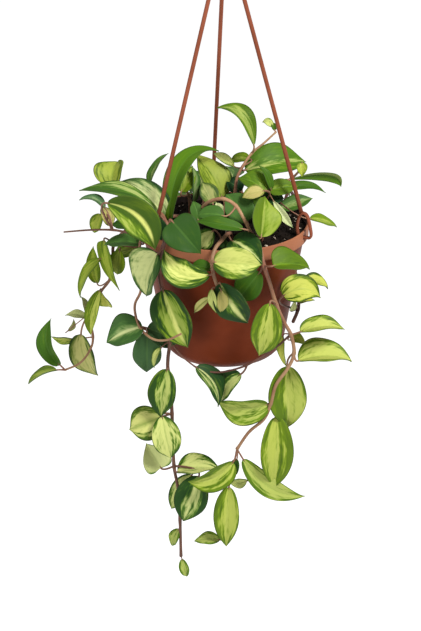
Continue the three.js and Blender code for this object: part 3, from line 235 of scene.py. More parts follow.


# Stems and leaves. A stem has its CAD node, its thickness at both ends, its root, which is where it stands
# in the soil, and its bark, which is how brown it is. Every other point is picture x, picture y and the
# distance in front of the pot's axis. A leaf has the stem point that it grows from, its blade's base and
# tip, its width, its colouring, its roll and its midrib's bow. "fold" is the rise of each half, "sway" and
# "push" are the midrib's other curves, "peak" is the share of its length at which it is widest, and "lean"
# is how far its colouring is shifted to one half; on some leaves that shift paints sheen as paler colour on
# the half that catches the light.
VINES = [
  vine("vine_far_left", (3.4, 1.8), root=(-38, 8), bark=0.35, stem=[
    (150, 222, 22), (128, 229, 16), (114, 244, 12), (113, 262, 10), (110, 279, 10), (100, 293, 8),
    (90, 313, 6), (93, 337, 8), (90, 350, 10), (80, 363, 14), (65, 370, 16)
  ], leaves=[
    # Partly painted light: this leaf's yellow look keeps it bright in the shade of the leaves above
    leaf(2, (140, 249, 12), (112, 257, 2), 24, "lime", 48, 3, fold=15),
    leaf(3, (120, 250, 20), (117, 275, 14), 17, "lime", 20, 2),
    leaf(2, (104, 240, 20), (119, 291, 24), 18, "olive_light", 52, 2, fold=22, peak=0.25),
    leaf(4, (97, 283, -6), (93, 246, -12), 14, "olive_light", -20, 4, fold=18),
    leaf(3, (100, 259, 20), (80, 298, 14), 15, "olive_light", 56, 2, fold=16, sway=3),
    leaf(5, (100, 290, 16), (91, 336, 16), 13, "mottled", 10, 3, fold=22, sway=3, lean=-0.4),
    leaf(5, (101, 291, 2), (109, 307, -8), 14, "pale_yellow", 40, 1, peak=0.7),
    leaf(6, (86, 318, 2), (65, 315, -6), 13, "ghost", 55, 2, fold=15),
    leaf(6, (86, 316, -2), (81, 296, -8), 10, "ghost", 55, 2, fold=15),
    leaf(6, (81, 334, -2), (98, 376, -6), 27, "tan_heart", 36, 4, fold=16, sway=3, peak=0.4),
    leaf(7, (73, 339, -6), (51, 337, -16), 13, "yellow_margin", -58, 1),
    leaf(6, (68, 331, -8), (74, 319, -13), 7, "ghost", 50, 2, fold=16),
    leaf(10, (60, 365, 14), (51, 318, 4), 20, "mid", -40, 5, sway=-5, peak=0.42, lean=0.8),
    leaf(10, (57, 370, 20), (28, 384, 26), 18, "olive", 68, 2.5, fold=22),
  ]),
  vine("vine_runner", (3.2, 1.4), root=(-28, -34), bark=0.8, stem=[
    (172, 231, 58), (158, 231, 56), (133, 233, 50), (113, 230, 46), (90, 230, 42), (64, 232, 38)
  ], leaves=[
    leaf(3, (107, 203, 62), (155, 250, 74), 33, "two_stripe", 16, 6, sway=-12, peak=0.52, lean=0.95),
    leaf(3, (110, 226, 34), (101, 206, 24), 13, "tan_bright", 25, 3),
    leaf(3, (105, 208, 36), (79, 200, 30), 13, "grey", 60, 4, fold=18, sway=1),
    leaf(3, (101, 214, 26), (94, 233, 24), 13, "olive_bright", 25, 2, fold=18),
    leaf(2, (141, 244, 38), (104, 245, 30), 23, "mid_cool", 58, 3, fold=12),
    leaf(2, (131, 229, 36), (111, 225, 30), 15, "plain", 52, 2, fold=14),
    leaf(0, (163, 240, 66), (158, 216, 60), 13, "deep", 0, 1),
  ]),
  vine("vine_left", (3.2, 2.2), root=(-46, -22), bark=0.25, stem=[
    (168, 226, 38), (163, 216, 30), (154, 205, 14), (144, 196, 4), (132, 190, -6), (120, 183, -10)
  ], leaves=[
    # Painted sheen: this leaf's lean puts paler colour on its upper half
    leaf(0, (161, 216, 34), (79, 190, 16), 21, "mid_patch", 52, 13, fold=10, push=-0.1, peak=0.6, lean=0.6),
    leaf(0, (168, 225, 24), (121, 181, 8), 25, "cream_cool", 12, 12, fold=16, sway=5, lean=-0.35),
    leaf(1, (169, 222, 28), (219, 151, -8), 22, "bright", -40, 20, fold=16, sway=-6, push=0.2),
    leaf(1, (170, 220, 16), (171, 181, 4), 16, "plain", -40, 4),
    leaf(3, (150, 184, -18), (168, 153, -40), 15, "grey_green", -66, 3),
    leaf(5, (113, 186, -8), (118, 162, -26), 33, "gold_streak", -30, 5, fold=35),
  ]),
  vine("vine_loop", (3.0, 1.8), root=(-54, -16), bark=0.3, stem=[
    (148, 228, 34), (141, 239, 40), (139, 262, 44), (141, 289, 48), (135, 304, 50), (136, 317, 54),
    (141, 329, 60), (153, 339, 72), (167, 340, 80), (181, 334, 84)
  ], leaves=[
    leaf(6, (143, 327, 58), (107, 343, 58), 33, "cool_line", 34, 4, fold=18),
    leaf(6, (147, 332, 55), (147, 372, 46), 26, "cool", 0, 4, fold=12),
    leaf(6, (147, 328, 50), (178, 343, 41), 26, "cool", -20, 3, fold=14),
  ]),
  vine("vine_hang", (3.8, 2.8), root=(-34, -48), bark=0.85, stem=[
    (168, 240, 66), (163, 247, 61), (160, 262, 57), (160, 277, 55), (163, 292, 58), (170, 315, 56),
    (170, 341, 58), (168, 358, 56), (168, 371, 54), (171, 390, 50), (172, 414, 48), (173, 436, 44),
    (174, 466, 42), (178, 489, 40), (180, 520, 40), (181, 556, 40)
  ], leaves=[
    leaf(1, (158, 254, 65), (147, 296, 58), 45, "margin_soft", 51, 4, sway=1, peak=0.38, lean=0.25),
    leaf(4, (163, 290, 68), (188, 348, 66), 36, "dark_mottled", 24, 4, fold=16, peak=0.4),
    leaf(6, (161, 348, 63), (154, 368, 60), 9, "cream", 55, 2),
    leaf(8, (167, 369, 58), (161, 417, 56), 26, "margin_mottled", 8, 4, fold=14, sway=1, lean=-0.2),
    leaf(10, (161, 417, 46), (129, 430, 46), 33, "blush", 0, 4, fold=12),
    leaf(10, (162, 416, 54), (171, 459, 56), 27, "cream_edged", 0, 4, fold=14, lean=0.2),
    leaf(12, (161, 468, 40), (146, 443, 34), 28, "ghost", 0, 3, fold=22, peak=0.3),
    leaf(12, (177, 472, 44), (220, 469, 46), 32, "cream_edged", -50, 3, fold=25),
    leaf(12, (192, 475, 34), (171, 509, 28), 21, "cream_edged", 20, 3, fold=16),
    leaf(12, (199, 476, 50), (183, 521, 54), 32, "margin_rib", 0, 4, fold=14, lean=-0.15),
    leaf(14, (179, 529, 38), (172, 546, 34), 12, "streaked", 30, 2, fold=16),
    leaf(15, (182, 559, 40), (187, 577, 40), 10, "streaked", 10, 2, fold=16),
  ]),
  vine("vine_centre", (3.2, 2.6), root=(-22, -44), bark=0.2, stem=[
    (182, 236, 66), (178, 232, 66), (173, 228, 68)
  ], leaves=[
    leaf(2, (172, 221, 82), (201, 254, 92), 32, "plain", 0, 4, fold=10, peak=0.3),
  ]),
  vine("vine_front", (3.4, 3.0), root=(6, -40), bark=0.4, stem=[
    (228, 234, 58), (222, 240, 68), (215, 249, 78), (212, 263, 84), (214, 276, 84), (218, 288, 82)
  ], leaves=[
    leaf(1, (213, 231, 63), (201, 249, 62), 18, "cream_edged", 20, 3),
    leaf(1, (222, 239, 60), (227, 250, 64), 9, "plain", 20, 1),
    leaf(3, (210, 275, 90), (164, 249, 78), 25, "cream_patch", 8, 3, fold=15, sway=-11.5, peak=0.5,
         lean=0.1),
    leaf(3, (211, 270, 82), (190, 267, 76), 13, "mid", 40, 3, fold=16),
    leaf(3, (214, 262, 92), (262, 265, 92), 28, "cream_warm", 0, 8, fold=16, lean=-0.3),
    leaf(0, (232, 241, 60), (263, 264, 84), 28, "dark_streak", -20, 6, fold=16),
    leaf(5, (220, 283, 84), (248, 323, 74), 29, "dark_wide", 25, 5, fold=14),
    leaf(5, (212, 289, 86), (216, 313, 82), 9, "cream", 30, 1),
    leaf(5, (221, 290, 88), (221, 313, 84), 11, "tan", -20, 2),
    leaf(5, (210, 298, 82), (194, 313, 74), 8, "tan_cream", 30, 2),
  ]),
  vine("vine_right", (3.6, 2.8), root=(32, -36), bark=0.25, stem=[
    (256, 240, 60), (260, 249, 74), (264, 266, 80), (270, 284, 78), (276, 304, 76), (284, 322, 74),
    (291, 335, 72), (294, 353, 70), (288, 368, 68), (276, 385, 66), (271, 403, 64), (264, 419, 62),
    (249, 432, 60), (237, 449, 58)
  ], leaves=[
    leaf(2, (273, 266, 86), (310, 269, 70), 30, "warm_green", -48, 4, fold=28, peak=0.27),
    leaf(1, (260, 272, 76), (239, 300, 70), 25, "mid", 10, 3, fold=14),
    leaf(4, (270, 303, 86), (259, 356, 76), 27, "fresh_yellow", 0, 5, fold=12, sway=-2),
    leaf(6, (300, 332, 72), (345, 329, 64), 23, "yellow_streaked", -50, 4, fold=28),
    leaf(7, (298, 361, 70), (352, 361, 62), 37, "yellow_streaked", -52, 5, fold=28),
    leaf(6, (290, 340, 64), (305, 343, 58), 12, "yellow", -40, 3),
    leaf(6, (283, 336, 64), (286, 366, 60), 12, "pale_yellow", 55, 2),
    leaf(7, (287, 366, 58), (288, 427, 54), 35, "fresh_yellow", 0, 6, fold=14, lean=-0.5),
    leaf(10, (268, 404, 62), (217, 401, 58), 31, "streaked", -38, 4, fold=25, sway=-3),
    leaf(10, (277, 416, 58), (273, 488, 54), 31, "fresh_yellow", 0, 6, fold=16, sway=-2, lean=0.3),
    leaf(13, (243, 459, 54), (305, 496, 46), 20, "streaked", 8, 4, fold=16, sway=9),
    leaf(13, (237, 459, 56), (233, 477, 56), 11, "plain", 20, 1, fold=22),
    leaf(13, (233, 462, 58), (188, 482, 66), 29, "fresh_yellow", -40, 3, sway=-4),
  ]),
  vine("vine_right", (2.0, 1.2), bark=0.5, stem=[
    (237, 449, 58), (234, 464, 53), (230, 480, 48), (228, 500, 46), (224, 526, 46)
  ], leaves=[
    leaf(2, (247, 481, 48), (229, 482, 50), 12, "cream", -40, 1),
    leaf(2, (229, 487, 53), (226, 547, 53), 25, "fresh_yellow", 10, 4, fold=14, lean=-0.3),
    leaf(4, (220, 540, 48), (194, 541, 44), 16, "streaked", 40, 2, fold=14),
  ]),
  vine("vine_right", (2.0, 1.4), bark=0.9, stem=[
    (290, 335, 72), (275, 348, 64), (247, 365, 62), (222, 372, 62), (205, 371, 62), (197, 368, 61),
    (183, 357, 61), (173, 345, 64)
  ], leaves=[
    leaf(5, (196, 367, 64), (218, 407, 64), 24, "dark_streak", -45, 5, fold=16, sway=-3, lean=0.5),
    leaf(2, (241, 374, 60), (221, 403, 54), 23, "margin", 40, 4, fold=16, sway=2, lean=-0.4),
  ]),
  vine("vine_side", (2.8, 3.2), root=(50, 14), bark=0.9, stem=[
    (285, 200, -28), (289, 191, -41), (293, 196, -49), (293, 212, -50), (293, 235, -46), (294, 258, -38),
    (296, 276, -22), (299, 292, 2), (298, 309, 24), (293, 322, 30)
  ], leaves=[
    leaf(8, (283, 296, 50), (321, 298, 44), 27, "yellow_bright", -20, 3, sway=-6, peak=0.36),
    leaf(7, (303, 282, 4), (328, 289, -2), 16, "yellow_bright", -50, 3, sway=-2),
    leaf(8, (300, 303, 32), (315, 300, 28), 9, "pale_yellow", -58, 1),
    leaf(8, (291, 311, 32), (295, 300, 40), 6, "ghost", 30, 1),
  ]),
  vine("vine_upright", (3.8, 1.6), root=(10, 2), bark=0.15, stem=[
    (235, 205, 6), (235, 193, 6), (237, 178, 4), (243, 166, 2), (252, 153, 0), (264, 143, -4),
    (276, 132, -6)
  ], leaves=[
    leaf(4, (254, 146, 4), (217, 108, -10), 22, "fresh", 50, 13, fold=22, push=0.14, peak=0.5),
    leaf(6, (272, 127, -6), (262, 122, -10), 7, "cream", 20, 1, sway=2),
    leaf(3, (234, 166, -10), (213, 153, -22), 9, "cream", 20, 3),
    leaf(3, (245, 170, -8), (306, 162, -30), 33, "bright_streak", -30, 8),
    leaf(3, (250, 159, -11), (230, 161, -20), 12, "lime", 40, 2),
    leaf(0, (222, 198, -2), (196, 155, -20), 31, "gold_streak", 33, 6, fold=12, peak=0.36, lean=0.5),
    leaf(1, (240, 192, -6), (226, 180, -10), 18, "deep", 30, 2),
    leaf(6, (275, 130, -6), (273, 122, -8), 5, "mid", 0, 1),
  ]),
  vine("vine_arch", (3.6, 2.8), root=(-24, -8), bark=0.0, stem=[
    (199, 216, 20), (203, 207, 30), (211, 201, 40), (224, 199, 48), (236, 206, 54), (245, 221, 60),
    (250, 231, 64)
  ], leaves=[
    leaf(6, (243, 229, 74), (194, 221, 68), 13.5, "mid", 34, 4, sway=-1.5, lean=0.3),
    leaf(6, (261, 237, 68), (265, 196, 46), 33, "half_light", 40, 5, sway=-3, lean=0.7),
    leaf(0, (213, 204, 18), (202, 182, 8), 18, "grey_brown", 20, 2, fold=16),
    leaf(0, (198, 220, 34), (193, 201, 26), 13, "mid_cool", 20, 2, fold=16),
    leaf(4, (247, 222, 38), (226, 194, 24), 28, "mid_cool", 20, 3, fold=16),
    leaf(3, (222, 216, 44), (216, 202, 36), 9, "pale_grey", 0, 1, fold=16),
    leaf(4, (224, 216, 62), (197, 215, 58), 17, "mid_cool", 36, 2, fold=14),
  ]),
  vine("vine_crown", (3.2, 2.2), root=(-30, 16), bark=0.2, stem=[
    (189, 196, 4), (184, 188, -6), (182, 180, -12)
  ], leaves=[
    leaf(0, (181, 192, 14), (193, 166, 0), 19, "lime", -15, 2, fold=18, peak=0.38),
    leaf(0, (193, 203, 10), (192, 165, 10), 15, "grey_muted", 62, 2, fold=18),
  ]),
  vine("vine_far_right", (3.4, 2.0), root=(30, 6), bark=0.3, stem=[
    (262, 205, 8), (269, 192, 4), (280, 184, 0), (292, 178, -2), (302, 168, -2)
  ], leaves=[
    leaf(4, (302, 163, 0), (302, 177, 4), 10, "yellow", 0, 1, fold=18, peak=0.3),
    # Painted sheen: this leaf's lean puts a pale strip on its upper half
    leaf(3, (289, 180, -14), (341, 187, -34), 13, "grey_bright", 48, 2, sway=-10.5, push=0.34, peak=0.55,
         lean=-0.8),
    leaf(2, (284, 190, -2), (326, 192.5, -14), 12, "mid", -50, 3, sway=-2, peak=0.4),
    leaf(1, (280, 209, 6), (313, 198, -4), 16, "grey_green", -30, 1, fold=16),
    leaf(1, (310, 219, 15), (337, 227, 0), 14, "lime", -56, 2, fold=16),
    # Painted light: this leaf's whitish look stands for light catching it
    leaf(1, (273, 200, 26), (293, 228, 38), 8, "pale_grey", 10, 3, fold=16, peak=0.55),
    leaf(0, (264, 200, 10), (284, 198, 6), 24, "deep", -45, 2, fold=18),
    leaf(2, (271, 190, 16), (259, 165, 12), 9, "mid", 40, 2, fold=18, sway=1),
    leaf(1, (267, 191, 18), (238, 178, 10), 28, "mid_yellow_soft", 45, 3, fold=18),
    leaf(0, (264, 191, 33), (242, 198, 35), 14, "tan_bright", 30, 2, fold=18),
    leaf(0, (262, 203, 20), (240, 202, 14), 17, "mid", 50, 2, fold=18),
    leaf(0, (265, 213, 24), (246, 208, 18), 18, "deep", 40, 2, fold=16),
    leaf(2, (269, 190, 15), (299, 186, 7), 16, "mid_yellow_soft", -20, 2, fold=16, peak=0.32),
  ]),
  vine("vine_back_left", (3.2, 1.8), root=(-18, 36), bark=0.3, stem=[
    (205, 190, -52), (204, 183, -70), (200, 200, -88), (196, 226, -92), (200, 262, -90), (198, 296, -88),
    (203, 330, -86)
  ], leaves=[
    leaf(0, (200, 186, -54), (193, 170, -72), 26, "margin", 170, 4, fold=16),
    leaf(1, (196, 194, -88), (178, 214, -104), 24, "bright", 130, 5, fold=18),
    leaf(3, (191, 228, -96), (166, 250, -102), 27, "margin", 180, 5, fold=16),
    leaf(3, (201, 230, -98), (216, 268, -106), 26, "streaked", 175, 5, fold=16),
    leaf(4, (195, 265, -94), (177, 304, -98), 28, "fresh", 185, 5, fold=16),
    leaf(5, (202, 299, -94), (220, 336, -98), 25, "cool_margin", 170, 5, fold=16),
    leaf(5, (194, 300, -90), (184, 338, -92), 22, "bright", 190, 5, fold=16),
    leaf(6, (204, 334, -88), (208, 360, -86), 17, "streaked", 180, 3, fold=16),
  ]),
  vine("vine_back_mid", (3.2, 1.6), root=(14, 40), bark=0.4, stem=[
    (236, 188, -54), (240, 181, -72), (242, 198, -92), (240, 232, -98), (246, 270, -96), (242, 306, -90)
  ], leaves=[
    leaf(0, (232, 180, -64), (226, 166, -86), 24, "dark_streak", 160, 4, fold=16),
    leaf(1, (246, 182, -88), (262, 190, -112), 24, "margin", 215, 5, fold=18),
    leaf(3, (236, 236, -102), (226, 276, -110), 27, "fresh", 180, 5, fold=16),
    leaf(3, (245, 236, -102), (268, 264, -104), 27, "streaked", 180, 5, fold=16),
    leaf(4, (242, 273, -100), (230, 312, -102), 24, "plain", 185, 5, fold=16),
    leaf(4, (250, 273, -98), (264, 310, -98), 25, "margin", 175, 5, fold=16),
    leaf(5, (243, 310, -92), (246, 338, -90), 18, "yellow", 180, 3, fold=16),
  ]),
  vine("vine_back_right", (3.2, 1.8), root=(40, 28), bark=0.25, stem=[
    (264, 192, -42), (272, 187, -58), (278, 200, -74), (280, 228, -80), (276, 262, -78), (272, 292, -74)
  ], leaves=[
    leaf(0, (258, 184, -52), (252, 170, -78), 24, "margin", 160, 4, fold=16),
    leaf(1, (276, 188, -72), (290, 196, -90), 22, "bright", 215, 5, fold=18),
    leaf(3, (284, 232, -84), (292, 262, -84), 20, "streaked", 175, 4, fold=16),
    leaf(4, (272, 266, -86), (262, 302, -88), 24, "fresh", 185, 5, fold=16),
    leaf(4, (279, 266, -82), (284, 296, -80), 18, "plain", 175, 4, fold=16),
    leaf(5, (272, 296, -76), (270, 322, -74), 17, "cream", 180, 3, fold=16),
  ]),
]


def place(px, py, near):
    """The point, in millimetres from the rim, that shows at a pixel and stands so far before the axis."""
    forward = np.array([0.0, math.cos(PITCH), -math.sin(PITCH)])
    up = np.array([0.0, math.sin(PITCH), math.cos(PITCH)])
    ray = forward + up * (PICTURE_HEIGHT / 2 - py) / FOCAL_PIXELS
    ray[0] += (px - PICTURE_WIDTH / 2) / FOCAL_PIXELS
    return EYE + ray * (-near - EYE[1]) / ray[1]


def unit(vector):
    return vector / np.linalg.norm(vector)


def across(direction, axis):
    """The part of a direction that is square to the axis, as a unit vector."""
    return unit(direction - axis * (direction @ axis))


def arc(start, bend, end, share):
    """The point at a share of the curve from start to end that bends toward a third point."""
    return start * (1 - share) ** 2 + 2 * bend * share * (1 - share) + end * share**2


def circle(radius, sides):
    angles = [2 * math.pi * i / sides for i in range(sides)]
    return [(radius * math.cos(angle), radius * math.sin(angle)) for angle in angles]


def turned(points, angle):
    """The points after a turn about the pot's axis."""
    c, s = math.cos(angle), math.sin(angle)
    return [(x * c - y * s, x * s + y * c, z) for x, y, z in points]


def catmull(points, at):
    """The point at a share of the spans of a Catmull-Rom curve through the points."""
    spans = len(points) - 1
    i = min(int(at), spans - 1)
    w = at - i
    p1, p2 = points[i], points[i + 1]
    p0 = points[i - 1] if i > 0 else 2 * points[0] - points[1]
    p3 = points[i + 2] if i + 2 <= spans else 2 * points[-1] - points[-2]
    v0, v1 = (p2 - p0) / 2, (p3 - p1) / 2
    return (2 * p1 - 2 * p2 + v0 + v1) * w**3 + (-3 * p1 + 3 * p2 - 2 * v0 - v1) * w**2 + v0 * w + p1


# Mesh building


def to_frame(points):
    return [(x * MM, y * MM, z * MM + RIM_TOP) for x, y, z in points]


def new_mesh(name, points, faces):
    mesh = bpy.data.meshes.new(name)
    mesh.from_pydata(to_frame(points), [], faces)
    return mesh


def new_object(name, data):
    thing = bpy.data.objects.new(name, data)
    bpy.context.scene.collection.objects.link(thing)
    return thing


def ring_faces(start, sides, rings, close=False):
    faces = []
    for k in range(rings - 1):
        for i in range(sides):
            a, b = start + k * sides + i, start + k * sides + (i + 1) % sides
            faces.append((a, b, b + sides, a + sides))
    if close:
        faces.append(tuple(start + i for i in reversed(range(sides))))
        last = start + (rings - 1) * sides
        faces.append(tuple(last + i for i in range(sides)))
    return faces


def tube_points(points, radii, sides):
    side = np.array([0.93, 0.31, 0.2])
    rings = []
    for i, point in enumerate(points):
        along = unit(points[min(i + 1, len(points) - 1)] - points[max(i - 1, 0)])
        side = across(side, along)
        up = np.cross(along, side)
        for k in range(sides):
            angle = 2 * math.pi * k / sides
            rings.append(point + radii[i] * (side * math.cos(angle) + up * math.sin(angle)))
    return rings


class Soup:
    """Points, faces, material slots and per-point looks that become one mesh object."""

    def __init__(self):
        self.points = []
        self.faces = []
        self.slots = []
        self.looks = {}

    def add(self, points, faces, slots=None, **looks):
        start = len(self.points)
        self.points += [tuple(p) for p in points]
        self.faces += [tuple(start + i for i in face) for face in faces]
        self.slots += slots or [0] * len(faces)
        for name, values in looks.items():
            self.looks.setdefault(name, []).extend(values)

    def tube(self, points, radii, sides, **looks):
        self.add(tube_points(points, radii, sides), ring_faces(0, sides, len(points), close=True), **looks)

    def build(self, name, materials, node, slot, smooth=True):
        mesh = new_mesh(name, self.points, self.faces)
        for material in materials:
            mesh.materials.append(material)
        mesh.polygons.foreach_set("material_index", self.slots)
        mesh.polygons.foreach_set("use_smooth", [smooth] * len(self.faces))
        for look, values in self.looks.items():
            layer = mesh.attributes.new(look, "FLOAT_VECTOR", "POINT")
            layer.data.foreach_set("vector", [v for value in values for v in value])
        mesh.validate()
        mesh.update()
        piece = new_object(name, mesh)
        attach(piece, "root")
        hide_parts(node)
        return piece


# Leaves


def outline(share, peak):
    """Half of a blade's width at a share of its length, as a share of its greatest half width."""
    if share <= 0 or share >= 1:
        return 0.0
    power = math.log(0.5) / math.log(peak)
    return math.sin(math.pi * share**power) ** (0.62 + 0.5 * share**2)


def leaf_lines(leaf):
    """A leaf's base, the middle point that bends its midrib, its tip, and the way that it faces."""
    base = place(*leaf["base"])
    tip = place(*leaf["tip"])
    chord = tip - base
    along = unit(chord)
    middle = (base + tip) / 2
    facing = across(unit(EYE - middle), along)
    sideways = np.cross(along, facing)
    turn = math.radians(leaf["turn"])
    face = facing * math.cos(turn) + sideways * math.sin(turn)
    middle = middle + chord * leaf.get("push", 0)
    middle = middle + 2 * face * leaf["bow"] + 2 * sideways * leaf.get("sway", 0)
    return base, middle, tip, face


def blade_faces():
    """A blade's upper faces, and those of its underside and rim, over its top and bottom grids of points."""
    width = BLADE_COLUMNS + 1
    count = (BLADE_ROWS + 1) * width
    upper, under = [], []

    def rim(a, b, flip):
        quad = (a, a + count, b + count, b)
        under.append(quad[::-1] if flip else quad)

    for a in range(0, BLADE_ROWS * width, width):
        for b in range(a, a + BLADE_COLUMNS):
            upper.append((b, b + width, b + width + 1, b + 1))
            under.append((b + count, b + count + 1, b + count + width + 1, b + count + width))
        rim(a, a + width, False)
        rim(a + BLADE_COLUMNS, a + BLADE_COLUMNS + width, True)
    for start, flip in ((0, True), (BLADE_ROWS * width, False)):
        for a in range(start, start + BLADE_COLUMNS):
            rim(a, a + 1, flip)
    return upper, under


UPPER_FACES, UNDER_FACES = blade_faces()


def add_blade(soup, leaf, dice):
    base, middle, tip, face = leaf_lines(leaf)
    fold = math.radians(leaf.get("fold", USUAL_FOLD))
    seed = dice.random()
    pale, glow, dark, milk, tan, streak, rib = LOOKS[leaf["look"]]
    glow += GLOW_SPREAD * (dice.random() - 0.5)
    ripple = 2 * math.pi * dice.random()
    top, bottom, places = [], [], []
    for r in range(BLADE_ROWS + 1):
        share = 0.5 - 0.5 * math.cos(math.pi * r / BLADE_ROWS)
        share = 0.35 * share + 0.65 * r / BLADE_ROWS
        centre = arc(base, middle, tip, share)
        tangent = unit((middle - base) * (1 - share) + (tip - middle) * share)
        up = across(face, tangent)
        side = np.cross(tangent, up)
        half = max(outline(share, leaf.get("peak", USUAL_PEAK)) * leaf["wide"] / 2, BLADE_LEAST_HALF)
        for c in range(BLADE_COLUMNS + 1):
            v = -1 + 2 * c / BLADE_COLUMNS
            a = abs(v)
            lift = half * math.sin(fold) * (0.55 * a + 0.45 * a**1.7)
            lift += 0.03 * leaf["wide"] * math.sin(3.2 * math.pi * share + ripple + (v > 0)) * a**3
            groove = GROOVE_DEPTH * math.exp(-((v * half / 1.1) ** 2))
            thick = BLADE_THICKNESS * (1 - 0.55 * a**8) * min(1, 0.4 + half / 3)
            point = centre + side * (v * half * math.cos(fold * 0.9)) + up * lift
            top.append(point + up * (thick / 2 - groove))
            bottom.append(point - up * (thick / 2 + groove))
            places.append((share, v))
    count = 2 * len(top)
    soup.add(
        top + bottom,
        UPPER_FACES + UNDER_FACES,
        [0] * len(UPPER_FACES) + [1] * len(UNDER_FACES),
        leaf_place=[(share, v, 0) for share, v in places] * 2,
        leaf_look=[(pale, glow, seed)] * count,
        leaf_tone=[(dark, milk, leaf.get("lean", 0.0))] * count,
        leaf_mark=[(tan, streak, rib)] * count,
    )


def add_stalk(soup, leaf, root, thick, bark, seed):
    base, middle, tip, _ = leaf_lines(leaf)
    start = unit(middle - base)
    bend = base - start * np.linalg.norm(base - root) * 0.35
    points = [arc(root, bend, base, k / STALK_STEPS) for k in range(STALK_STEPS + 1)]
    points.append(base + start * min(3.0, 0.1 * np.linalg.norm(tip - base)))
    radius = min(STALK_RADIUS, 0.35 + leaf["wide"] / 36)
    radii = [max(radius, thick * 0.42)]
    radii += [radius * (1 - 0.12 * min(1, k / 4)) for k in range(1, STALK_STEPS + 1)]
    radii.append(0.3)
    look = [(0.25 + 0.6 * bark, 0.3 * k / 9, seed) for k in range(len(points)) for _ in range(STALK_SIDES)]
    soup.tube(points, radii, STALK_SIDES, stem_look=look)


def add_stem(soup, vine, dice):
    """Adds a stem and returns its points above the soil."""
    anchors = [place(*p) for p in vine["stem"]]
    buried = 0
    if vine["root"]:
        x, y = vine["root"]
        anchors = [np.array([x, y, -ROOT_DEPTH]), np.array([x, y, ROOT_TOP])] + anchors
        buried = 1
    spans = len(anchors) - 1
    stops = [buried + k / STEM_STEPS for k in range((spans - buried) * STEM_STEPS + 1)]
    points = anchors[:buried] + [catmull(anchors, at) for at in stops]
    stops = [0.0] * buried + stops
    start, end = vine["thick"]
    nodes = {leaf["at"] + 2 * buried for leaf in vine["leaves"]}
    radii = []
    for at in stops:
        swell = max((math.exp(-(((at - n) / 0.13) ** 2)) for n in nodes), default=0)
        radii.append((start + (end - start) * at / spans) / 2 * (1 + 0.22 * swell))
    points.append(points[-1] + unit(points[-1] - points[-2]) * radii[-1] * 0.7)
    radii.append(radii[-1] * 0.35)
    seed = dice.random()
    count = len(points)
    look = [(vine["bark"], 0.5 * k / count, seed) for k in range(count) for _ in range(STEM_SIDES)]
    soup.tube(points, radii, STEM_SIDES, stem_look=look)
    return anchors[2 * buried:]


def build_vines():
    made = {}
    for number, vine in enumerate(VINES):
        dice = random.Random(1000 + number)
        blades, stems = made.setdefault(vine["node"], (Soup(), Soup()))
        anchors = add_stem(stems, vine, dice)
        thick = vine["thick"][1] / 2
        for leaf in vine["leaves"]:
            add_blade(blades, leaf, dice)
            add_stalk(stems, leaf, anchors[leaf["at"]], thick, vine["bark"], dice.random())
    leaf_sides = [leaf_material("leaf_upper", False), leaf_material("leaf_under", True)]
    bark = stem_material()
    for node, (blades, stems) in made.items():
        blades.build(node + "_leaves", leaf_sides, node, "leaf")
        stems.build(node + "_stem", [bark], node, "leaf")


# Pot, soil and hanger


def lathe(soup, profile, sides, looped=False):
    """Turns a profile about the axis; a looped one is joined end to end."""
    points = [(x, y, height) for radius, height in profile for x, y in circle(radius, sides)]
    faces = ring_faces(0, sides, len(profile))
    if looped:
        last = len(points) - sides
        faces += [(last + i, last + (i + 1) % sides, (i + 1) % sides, i) for i in range(sides)]
    soup.add(points, faces)


def rounded(profile, radius, steps=4):
    """The profile with its inner corners rounded by small curves."""
    out = [profile[0]]
    for before, corner, after in zip(profile, profile[1:], profile[2:]):
        p, q, r = np.array(before, float), np.array(corner, float), np.array(after, float)
        cut = min(radius, np.linalg.norm(p - q) * 0.45, np.linalg.norm(r - q) * 0.45)
        start, end = q + unit(p - q) * cut, q + unit(r - q) * cut
        out += [tuple(arc(start, q, end, k / steps)) for k in range(steps + 1)]
    out.append(profile[-1])
    return out


def cut_out(piece, drills):
    """Takes the drills' solids out of a piece's mesh."""
    tool = new_object("drills", new_mesh("drills", drills.points, drills.faces))
    change = piece.modifiers.new("drill", "BOOLEAN")
    change.operation = "DIFFERENCE"
    change.solver = "EXACT"
    change.object = tool
    ready = piece.evaluated_get(bpy.context.evaluated_depsgraph_get())
    drilled = bpy.data.meshes.new_from_object(ready)
    piece.modifiers.remove(change)
    piece.data = drilled
    bpy.data.objects.remove(tool)


